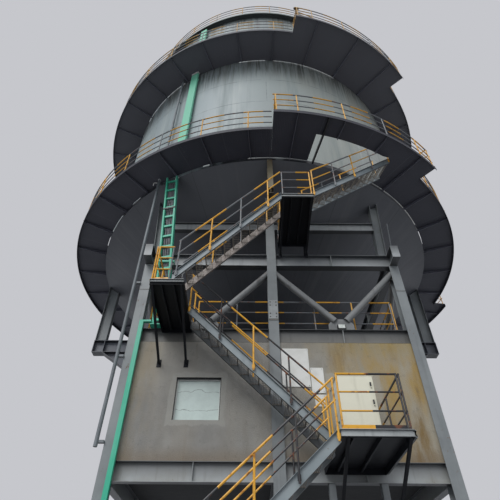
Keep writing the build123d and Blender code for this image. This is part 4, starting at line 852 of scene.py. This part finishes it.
def gratings(foot, head):
    """Open treads: flat bars on edge across the flight, rods through them, a plate at each end and
    a square nosing bar, made once and put at every step."""
    foot, run, across, length, rise, going = flight_measure(foot, head)
    depth = min(going - TREAD_GAP, TREAD_NOSE + TREAD_DROP * going / rise)
    edge = TREAD_HALF - END_PLATE[0] / 2

    def crosswise(x, section):
        """A bar from side to side, flush with the top of the tread."""
        level = -section[1] / 2
        return [(x, -TREAD_HALF, level), (x, TREAD_HALF, level)], flat_outline(*section)

    def lengthwise(start, y, level, section):
        """A bar from front to back."""
        return [(start, y, level), (depth, y, level)], flat_outline(*section)

    lines = [crosswise(x, FLAT_BAR) for x in np.arange(FIRST_BAR, depth, BAR_PITCH)]
    lines += [lengthwise(ROD_START, y, ROD_LEVEL, ROD) for y in np.arange(-3, 4) * ROD_PITCH]
    lines += [lengthwise(0, y, -END_PLATE[1] / 2, END_PLATE) for y in (-edge, edge)]
    lines.append(crosswise(NOSING_BAR[0] / 2, NOSING_BAR))
    places = []
    for step in range(1, round(length / going) + 1):
        matrix = np.eye(4)
        matrix[:3, 0], matrix[:3, 1] = run, across
        matrix[:3, 3] = foot + run * ((step - 1) * going - TREAD_NOSE) + (0, 0, step * rise)
        places.append(matrix)
    return [repeated(carried(path, outline), places) for path, outline in lines]


for rails_name, flights, paint in (
    ("lower_stair_handrails", FLIGHTS[:2], LANDING_PAINT),
    ("upper_stair_handrails", FLIGHTS[2:], RAIL_PAINT),
):
    rails(rails_name, joined(stair_rails, [flight[1:] for flight in flights]), paint, "stair_rails")
for flight_name, foot, head, *_ in FLIGHTS:
    build(f"{flight_name}_gratings", gratings(foot, head), TREAD_ZINC,
          replaces=[f"{flight_name}_treads"])

LEVEL_POST_PITCH = 1.3
END_INSET = 0.021
TOE_BOARD = (0.006, 0.1)
FINE_EDGE = 0.001


def level_rail(start, end, floor, band=LEVEL_BAND, lead=0.0, posts=None):
    """Three level tubes on posts with a toe board, between two plan points. The posts are given
    as the phase of each, or stand at a pitch and take the two colours by turns."""
    start, end = np.array((*start, floor), float), np.array((*end, floor), float)
    shapes = []
    for height, radius in RAIL_LEVELS:
        lift = np.array((0, 0, height))
        shapes.append(tube(start + lift, end + lift, radius, band=band, lead=lead))
    length = np.linalg.norm(end - start)
    if posts is None:
        posts = [FIRST_BAND + i % 2 for i in range(ceil(length / LEVEL_POST_PITCH) + 1)]
    inset = (end - start) / length * END_INSET
    for i, phase in enumerate(posts):
        spot = start + inset + (end - start - 2 * inset) * i / max(1, len(posts) - 1)
        shapes += upright(spot, floor, phase)
    lift = np.array((0, 0, TOE_BOARD[1] / 2))
    board = eased_outline(*TOE_BOARD, FINE_EDGE)
    shapes.append(carried([start + lift, end + lift], board, band=band, lead=lead))
    return shapes


# Runs of each landing as (start, end, floor, band, lead, posts)
DOOR_FLOOR = 5.01
DECK = 8.64
LOW_RUNS = (
    ((1.099, -9.024), (2.412, -9.024), 4.8, 0.86, 0.2, (FIRST_BAND, SECOND_BAND)),
    ((2.454, -9.024), (2.454, -6.76), 4.8, 1.7, 1.8, (SECOND_BAND, SECOND_BAND, FIRST_BAND)),
)
HIGH_RUNS = (
    ((-3.202, -8.924), (-2.782, -8.924), 8.59, 0.9, 0.0, (FIRST_BAND, SECOND_BAND)),
    ((-3.244, -8.924), (-3.244, -6.962), 8.59, 1.2, 0.0, (FIRST_BAND, FIRST_BAND, SECOND_BAND)),
    ((0.276, -8.874), (1.224, -8.874), 12.1, 0.62, 0.75, (SECOND_BAND, FIRST_BAND)),
    ((0.276, -7.9), (0.276, -6.76), 12.1, 0.9, 0.0, (FIRST_BAND, SECOND_BAND)),
    ((1.224, -7.85), (1.224, -6.76), 12.1, 0.9, 0.0, (FIRST_BAND, SECOND_BAND)),
    ((-2.739, 6.78), (-2.739, 8.051), DOOR_FLOOR),
    ((-2.739, 8.074), (-1.391, 8.074), DOOR_FLOOR),
)
ROOF_RUNS = (
    ((-2.34, -6.35), (3.74, -6.35), DECK),
    ((-3.74, 6.35), (3.74, 6.35), DECK),
    ((-3.8, -6.29), (-3.8, 6.29), DECK),
    ((3.8, -6.29), (3.8, 6.29), DECK),
)
rails("low_landing_handrails", joined(level_rail, LOW_RUNS), LANDING_PAINT, "landing_rails")
rails("landing_handrails", joined(level_rail, HIGH_RUNS), RAIL_PAINT)
rails("roof_deck_handrails", joined(level_rail, ROOF_RUNS), RAIL_PAINT, "roof_rails")

# Landings: pale channels along the open edges, and joists under the floor plates. Each is its
# left and right, front, level, the depth of its channels and the places of its joists.
LANDINGS = (
    (1.05, 2.48, -9.05, 4.8, 0.14, (1.35, 1.9)),
    (-3.27, -2.4, -8.95, 8.59, 0.09, (-3.0, -2.68)),
    (0.25, 1.25, -8.9, 12.1, 0.13, (0.58, 0.92)),
)
CHANNEL_REACH = 0.05
CHANNEL_WEB = 0.008
CHANNEL_FLANGE = 0.01
CHANNEL_DROP = 0.001
JOIST_WIDTH = 0.05
JOIST_DEPTH = 0.1
JOIST_DROP = 0.06


def channel(start, end, level, deep):
    """A channel's outline carried along a landing's edge, with its flanges outwards."""
    half = deep / 2
    inner = half - CHANNEL_FLANGE
    outline = [
        (0, -half), (CHANNEL_REACH, -half), (CHANNEL_REACH, -inner), (CHANNEL_WEB, -inner),
        (CHANNEL_WEB, inner), (CHANNEL_REACH, inner), (CHANNEL_REACH, half), (0, half),
    ]
    middle = level - half - CHANNEL_DROP
    return carried([(*start, middle), (*end, middle)], outline)


channels, joists = [], []
for left, right, front, level, deep, spots in LANDINGS:
    channels.append(channel((right, front), (left, front), level, deep))
    for x in spots:
        middle = (x, (front + LANDING_EDGE) / 2, level - JOIST_DROP)
        joists.append(slab(middle, (JOIST_WIDTH, LANDING_EDGE - front - JOIST_DEPTH, JOIST_DEPTH)))
_, right, front, level, deep, _ = LANDINGS[0]
channels.append(channel((right, LANDING_EDGE - 0.02), (right, front), level, deep))
build("landing_channels", channels, RIM_PAINT)
build("landing_joists", joists, UNDER_PAINT)

# Bolts, stiffeners and seams of the frame
ANCHOR_HALF = 0.2
BASE_TOP = 0.03
NOZZLE_FACE = -9.275
NOZZLE_LEVEL = 21.2
NOZZLE_BOLTS = 1.51
OUTLET_RADIUS = 0.45
OUTLET_BOLTS = 0.5
OUTLET_DROP = 0.6


def bolts(places, size, length):
    """Hexagon heads on round washers at each place matrix; size is the spanner size."""
    washer = spun([(size * 0.72, 0), (size * 0.72, size * 0.12), (size * 0.5, size * 0.12)])
    profile = [(size * 0.58, size * 0.1), (size * 0.58, length * 0.85), (size * 0.5, length)]
    head = spun(profile, sides=6)
    return [repeated(part, places) for part in (washer, head)]


anchor_places = [
    place((x + dx, y + dy, BASE_TOP))
    for x, y in product((-BAY, 0, BAY), (-AISLE, 0, AISLE))
    for dx, dy in product((-ANCHOR_HALF, ANCHOR_HALF), repeat=2)
]
build("anchor_nuts", bolts(anchor_places, 0.046, 0.05), ZINC)

flange_places = [
    place((NOZZLE_FACE, NOZZLE_BOLTS * cos(t), NOZZLE_LEVEL + NOZZLE_BOLTS * sin(t)), (1, 0, 0))
    for t in even_turns(48)
]
outlet_head = VESSEL_FOOT - (VESSEL_RADIUS - OUTLET_RADIUS) * np.tan(HOPPER_SLOPE)
flange_places += [
    place((OUTLET_BOLTS * cos(t), OUTLET_BOLTS * sin(t), outlet_head - OUTLET_DROP))
    for t in even_turns(16)
]
build("flange_bolts", bolts(flange_places, 0.036, 0.03), ZINC)

# Mid-bay stiffeners welded between the flanges of every beam, each (top, depth, width, web, flange)
STIFFENER = 0.012
STIFFENED = (
    (FLOOR_TOP, BEAM_DEPTH, BEAM_WIDTH, 0.009, 0.014),
    (ROOF_TOP, BEAM_DEPTH, BEAM_WIDTH, 0.009, 0.014),
    (GIRDER_TOP, 0.49, 0.25, 0.011, 0.018),
)
stiffeners = []
for top, depth, width, web, flange in STIFFENED:
    reach = (width - web) / 2 - 0.004
    level, height = top - depth / 2, depth - 2 * flange
    for side, hand, row in product((-1, 1), repeat=3):
        off = hand * (web / 2 + reach / 2)
        across = (side * BAY / 2, row * AISLE + off, level)
        stiffeners.append(slab(across, (STIFFENER, reach, height)))
        along = (side * BAY + off, row * AISLE / 2, level)
        stiffeners.append(slab(along, (reach, STIFFENER, height)))
build("beam_stiffeners", stiffeners, RIM_PAINT)

# Splices: a pale cover plate on the centre columns, weld beads on the corner ones
COLUMN_HALF = 0.15
SPLICE = (0.28, 0.01, 0.68)
SPLICE_LEVEL = 9.26
SPLICE_BEAD = (0.3, 0.012, 0.05)
BEAD_LEVEL = 8.89
WELD = (0.3, 0.008, 0.02)
WELD_LEVEL = 10.0
splice_plates, splice_places, beads = [], [], []
for y, hand in product((-AISLE, AISLE), (-1, 1)):
    face = y + hand * COLUMN_HALF
    splice_plates.append(slab((0, face + hand * SPLICE[1] / 2, SPLICE_LEVEL), SPLICE))
    splice_places += [
        place((dx, face + hand * SPLICE[1], SPLICE_LEVEL + dz), (0, hand, 0))
        for dx, dz in product((-0.09, 0.09), (-0.27, -0.15, 0.15, 0.27))
    ]
    beads.append(slab((0, face + hand * SPLICE_BEAD[1] / 2, BEAD_LEVEL), SPLICE_BEAD))
    beads += [slab((x, face + hand * WELD[1] / 2, WELD_LEVEL), WELD) for x in (-BAY, BAY)]
build("column_splices", splice_plates, RIM_PAINT)
build("splice_bolts", bolts(splice_places, 0.032, 0.02), EAVES_PAINT)
build("column_welds", beads, EAVES_PAINT)

# Notice boards, each (left, right, foot, head)
BOARDS = ((0.17, 0.93, 6.79, 7.94), (0.95, 1.3, 6.62, 7.35), (1.0, 1.3, 6.26, 6.58))
BOARD_THICK = 0.02
SCREW_INSET = 0.04
boards = [
    slab(
        ((x0 + x1) / 2, WALL_FACE - BOARD_THICK / 2, (z0 + z1) / 2),
        (x1 - x0, BOARD_THICK, z1 - z0), ease=0.006,
    )
    for x0, x1, z0, z1 in BOARDS
]
build("notice_boards", boards, BOARD_PAINT)
board_screws = [
    place((x, WALL_FACE - BOARD_THICK, z), (0, -1, 0))
    for x0, x1, z0, z1 in BOARDS
    for x, z in product((x0 + SCREW_INSET, x1 - SCREW_INSET), (z0 + SCREW_INSET, z1 - SCREW_INSET))
]
build("board_screws", bolts(board_screws, 0.016, 0.008), ZINC)

# Floodlights: one on the roof beam, and one on the upper ring's corner rail
LAMP_MIDDLE = 0.13
LAMP_HOUSING = (0.24, 0.1, 0.17)
LAMP_FIN = (0.008, 0.04, 0.14)
LAMP_FIN_BACK = 0.06
LAMP_STIRRUP = (0.006, 0.035, 0.16)
LAMP_FOOT = (0.26, 0.06, 0.008)
LAMP_PANE = (0.2, 0.012, 0.13)
LAMP_PANE_FRONT = 0.052
LAMP_SPOTS = (
    (2.02, -6.62, ROOF_TOP),
    (*polar(10.13, -81.3, 0)[:2], UPPER_FLOOR + RAIL_TOP + RAIL),
)


def floodlight(x, y, z):
    """A cast housing with cooling fins, on a stirrup with a foot plate."""
    middle = z + LAMP_MIDDLE
    housing = slab((x, y, middle), LAMP_HOUSING, ease=0.02)
    fins = [
        slab((x + dx, y + LAMP_FIN_BACK, middle), LAMP_FIN) for dx in np.linspace(-0.09, 0.09, 7)
    ]
    sides = [slab((x + dx, y, z + LAMP_STIRRUP[2] / 2), LAMP_STIRRUP) for dx in (-0.126, 0.126)]
    foot = slab((x, y, z + LAMP_FOOT[2] / 2), LAMP_FOOT)
    return [housing, *fins, *sides, foot]


build("floodlight_body", joined(floodlight, LAMP_SPOTS), STRAP_NYLON)
lamp_panes = [
    slab((x, y - LAMP_PANE_FRONT, z + LAMP_MIDDLE), LAMP_PANE, ease=0.004) for x, y, z in LAMP_SPOTS
]
build("floodlight_glass", lamp_panes, LAMP_GLASS)

# Cabinet fittings: lamps on its side, a rain hood, and black locks over the door's handles
LENS_SPOTS = ((1.45, -7.2, 5.66), (1.45, -7.2, 5.48))
LENS_PROFILE = ((0.034, 0), (0.034, 0.006), (0.026, 0.008), (0.024, 0.02), (0.014, 0.028))
HOOD = (0.96, 0.8, 0.022)
HOOD_SPOT = (1.9, -7.1, 6.712)
LOCK = (0.034, 0.039, 0.12)
LOCK_SPOTS = ((2.275, -7.519, 6.03), (2.275, -7.519, 6.48))
lens_places = [place(spot, (-1, 0, 0)) for spot in LENS_SPOTS]
lenses = repeated(spun(LENS_PROFILE, sides=20), lens_places)
build("cabinet_lenses", [lenses], LENS_GREEN, smooth=True)
hood = slab(HOOD_SPOT, HOOD, ease=0.008)
build("cabinet_rain_hood", [hood], CABINET_COAT)
locks = [slab(spot, LOCK, ease=0.006) for spot in LOCK_SPOTS]
build("cabinet_locks", locks, STRAP_NYLON, body="door")

# Cables up the ladder, each (place across, radius), tied by straps, and one wide band in front
LADDER_FOOT = np.array((-3.356, -6.77, 8.63))
LADDER_RUN = np.array((-3.8, -7.08, 15.31)) - LADDER_FOOT
LADDER_ACROSS = unit(np.array((1, -0.25, 0.0)))
LADDER_OUT = unit(np.cross(LADDER_RUN, LADDER_ACROSS))
RUNGS = 14
CABLES = ((-0.1, 0.03), (-0.035, 0.027), (0.03, 0.032), (0.09, 0.024))
CABLE_OUT = 0.024
CABLE_SWAY = 0.008
# Each strap as (share of the ladder, half length, distance behind it, section)
STRAPS = [((rung + 0.5) / RUNGS, 0.17, 0.018, (0.006, 0.05, 0.002)) for rung in (2, 5, 8, 11)]
STRAPS.append((0.735, 0.23, -0.068, (0.012, 0.07, 0.003)))
share = np.linspace(0.0, 1.0, 41)
cables = []
for i, (shift, thick) in enumerate(CABLES):
    across = shift + CABLE_SWAY * np.sin(share * 23 + i * 1.7)
    line = LADDER_FOOT + share[:, None] * LADDER_RUN + across[:, None] * LADDER_ACROSS
    line = line + LADDER_OUT * (CABLE_OUT + thick)
    cables.append(carried(line, round_outline(thick, 10), up=LADDER_ACROSS))
build("ladder_cables", cables, CABLE_SHEATH, smooth=True)
straps = []
for along, half, out, section in STRAPS:
    middle = LADDER_FOOT + LADDER_RUN * along
    ends = [middle + LADDER_ACROSS * reach + LADDER_OUT * out for reach in (-half, half)]
    straps.append(carried(ends, eased_outline(*section), up=unit(LADDER_RUN)))
build("ladder_straps", straps, STRAP_NYLON)

# White conduit elbows under the lower walkway, beside the riser and the ladder
ELBOW_SPOTS = ((-4.51, -6.8), (-3.59, -7.08))
ELBOW_LEVEL = 15.26
ELBOW_DROP = 0.1
ELBOW_REACH = 0.07
elbows = []
for x, y in ELBOW_SPOTS:
    turn = np.linspace(0, 0.75 * pi, 7)
    bend = np.stack(
        [x - ELBOW_REACH * np.cos(turn), turn * 0 + y, ELBOW_LEVEL + ELBOW_REACH * np.sin(turn)],
        axis=-1,
    )
    line = np.concatenate([[(x - ELBOW_REACH, y, ELBOW_LEVEL - ELBOW_DROP)], bend])
    elbows.append(carried(line, round_outline(0.02), up=(0, 1, 0)))
build("conduit_elbows", elbows, BOARD_PAINT, smooth=True)

# Ladder cages as (bearing, radius, foot, head)
CAGES = ((32, 8.34, 15.5, 23.9), (75, 8.29, 24.25, 31.3))
HOOP_RADIUS = 0.36
HOOP_OUT = 0.3
HOOP_START = 2.2
HOOP_PITCH = 0.9
HOOP_BAR = (0.006, 0.05)
CAGE_BAR = (0.04, 0.006)


def cage(bearing, radius, low, high):
    """Hoops of flat bar joined by five upright straps, open towards the ladder."""
    out = polar(1, bearing, 0)
    side = polar(1, bearing + 90, 0)
    turn = np.radians(np.linspace(-125, 125, 19))
    middle = polar(radius, bearing, 0) + out * HOOP_OUT
    plan = middle + HOOP_RADIUS * (np.cos(turn)[:, None] * out + np.sin(turn)[:, None] * side)
    flat = eased_outline(*HOOP_BAR, FINE_EDGE)
    levels = np.arange(low + HOOP_START, high, HOOP_PITCH)
    shapes = [carried(plan + (0, 0, level), flat) for level in levels]
    strap = eased_outline(*CAGE_BAR, FINE_EDGE)
    foot, head = (0, 0, low + HOOP_START - HOOP_BAR[1]), (0, 0, high)
    for t in np.radians((-110, -55, 0, 55, 110)):
        facing = cos(t) * out + sin(t) * side
        spot = middle + (HOOP_RADIUS + CAGE_BAR[1]) * facing
        shapes.append(carried([spot + foot, spot + head], strap, up=facing))
    return shapes


build("ladder_cages", joined(cage, CAGES), ZINC)

# Cover strips over the slot between each walkway and the shell, gone in places
SLOT_MIDDLE = 0.027
SLOT_LIFT = 0.004
SLOT_STRIP = (0.05, 0.006)
SLOT_COVERS = {
    LOWER_FLOOR: (
        (-200, -158), (-153, -151), (-142, -136), (-132, -109), (-107, -96), (-34, -32), (-24, 160),
    ),
    UPPER_FLOOR: ((-237, -147), (-123, -100), (-90, -87), (-62, 123)),
}
covers = [
    carried(arc(VESSEL_RADIUS + SLOT_MIDDLE, start, end, level + SLOT_LIFT), flat_outline(*SLOT_STRIP))
    for level, arcs in SLOT_COVERS.items() for start, end in arcs
]
build("slot_covers", covers, DECK_PAINT)

# White cap over the head of the tray on the shell
CAP_BEARING = -117
CAP_LEVEL = 24.15
CAP_OUTLINE = (0.42, 0.1, 0.01)
cap_line = [polar(VESSEL_RADIUS + reach, CAP_BEARING, CAP_LEVEL) for reach in (0.12, 0.24)]
build("tray_cap", [carried(cap_line, eased_outline(*CAP_OUTLINE))], BOARD_PAINT)

# Rubber gaskets round the front and rear windows
GASKET_HALF = (0.588, 0.563)
GASKET_DEPTH = 6.642
GASKET_RADIUS = 0.011
gaskets = []
for side in (-1, 1):
    ring = [
        (side * WINDOW_X + dx, side * GASKET_DEPTH, WINDOW_LEVEL + dz)
        for dx, dz in np.multiply(((-1, -1), (1, -1), (1, 1), (-1, 1)), GASKET_HALF)
    ]
    gaskets.append(carried(ring, round_outline(GASKET_RADIUS, 6), up=(0, 1, 0), closed=True))
build("window_gaskets", gaskets, STRAP_NYLON)

# Window bars
MULLION = (0.035, 0.04, 1.08)
SIDE_MULLION = (0.04, 0.035, 1.08)
SIDE_WINDOW_Y = 3.3
bars = [slab((WINDOW_X, AISLE - WINDOW_SET, WINDOW_LEVEL), MULLION)]
bars += [
    slab((side * (BAY - WINDOW_SET), -side * SIDE_WINDOW_Y, WINDOW_LEVEL), SIDE_MULLION)
    for side in (-1, 1)
]
build("window_mullions", bars, WINDOW_PAINT)

# Conduit down the right upper leg, along its face, and back over the girder
CONDUIT = 0.02
CONDUIT_CORNER = (4.42, -5.98, 11.56)
CONDUIT_ENDS = ((4.62, -5.98, 13.9), (4.42, -6.55, 11.56))
conduit = [tube(CONDUIT_CORNER, end, CONDUIT) for end in CONDUIT_ENDS]
build("leg_conduit", conduit, PIPE_PAINT)

# Floor, light and camera
FLOOR_RADIUS = 160
FLOOR_LEVEL = -0.002
CAMERA_SPOT = (-0.72, -17.5, 1.6)
CAMERA_TILT = radians(133.3)
CAMERA_ROLL = 0.007


def backdrop_share(node):
    """1 for rays that show the backdrop itself, straight, mirrored or through glass."""
    rays = node("LightPath").node.outputs
    mirrored = node("Math MAXIMUM", rays["Is Glossy Ray"], rays["Is Transmission Ray"])
    return node("Math MAXIMUM", rays["Is Camera Ray"], mirrored)


def backdrop_colour(node, lit, seen):
    """The colour that lights the object, and the one that the camera sees."""
    tones = {6: srgb(lit), 7: srgb(seen)}
    return node("Mix", backdrop_share(node), out=2, inputs=tones, data_type="RGBA")


def pale_floor():
    """A wide plain disc. The camera sees it pale; what falls on the undersides from it is less."""
    material = bpy.data.materials.new("studio_floor")
    node = fresh(material)
    colour = backdrop_colour(node, "#77787b", "#d2d3d6")
    shader = node("BsdfPrincipled", inputs={"Base Color": colour, "Roughness": 0.95})
    node("OutputMaterial", inputs={"Surface": shader})
    mesh = bpy.data.meshes.new("studio_floor")
    turn = even_turns(64)
    rim = [FLOOR_RADIUS * np.cos(turn), FLOOR_RADIUS * np.sin(turn), turn * 0 + FLOOR_LEVEL]
    mesh.from_pydata(np.stack(rim, axis=-1).tolist(), [], [list(range(64))])
    mesh.materials.append(material)
    disc = bpy.data.objects.new("studio_floor", mesh)
    bpy.context.scene.collection.objects.link(disc)


pale_floor()

world = bpy.data.worlds.new("soft_sky")
bpy.context.scene.world = world
sky_node = fresh(world)
sky = backdrop_colour(sky_node, "#e4e8ee", "#c6c7cc")
glow = sky_node("Background", inputs={"Color": sky, "Strength": 1.0})
sky_node("OutputWorld", inputs={"Surface": glow})

sun = bpy.data.lights.new("soft_key", "SUN")
sun.energy = 1.6
sun.angle = radians(35)
sun_object = bpy.data.objects.new("soft_key", sun)
sun_object.rotation_euler = (radians(48), 0, radians(-28))
bpy.context.scene.collection.objects.link(sun_object)

camera = bpy.data.cameras.new("low_view")
camera.lens = 30.98
camera.sensor_width = 36
camera.clip_end = 500
camera_object = bpy.data.objects.new("low_view", camera)
camera_object.matrix_world = (
    Matrix.Translation(CAMERA_SPOT)
    @ Matrix.Rotation(CAMERA_TILT, 4, "X")
    @ Matrix.Rotation(CAMERA_ROLL, 4, "Z")
)
bpy.context.scene.collection.objects.link(camera_object)
bpy.context.scene.camera = camera_object
bpy.context.scene.view_settings.view_transform = "Standard"
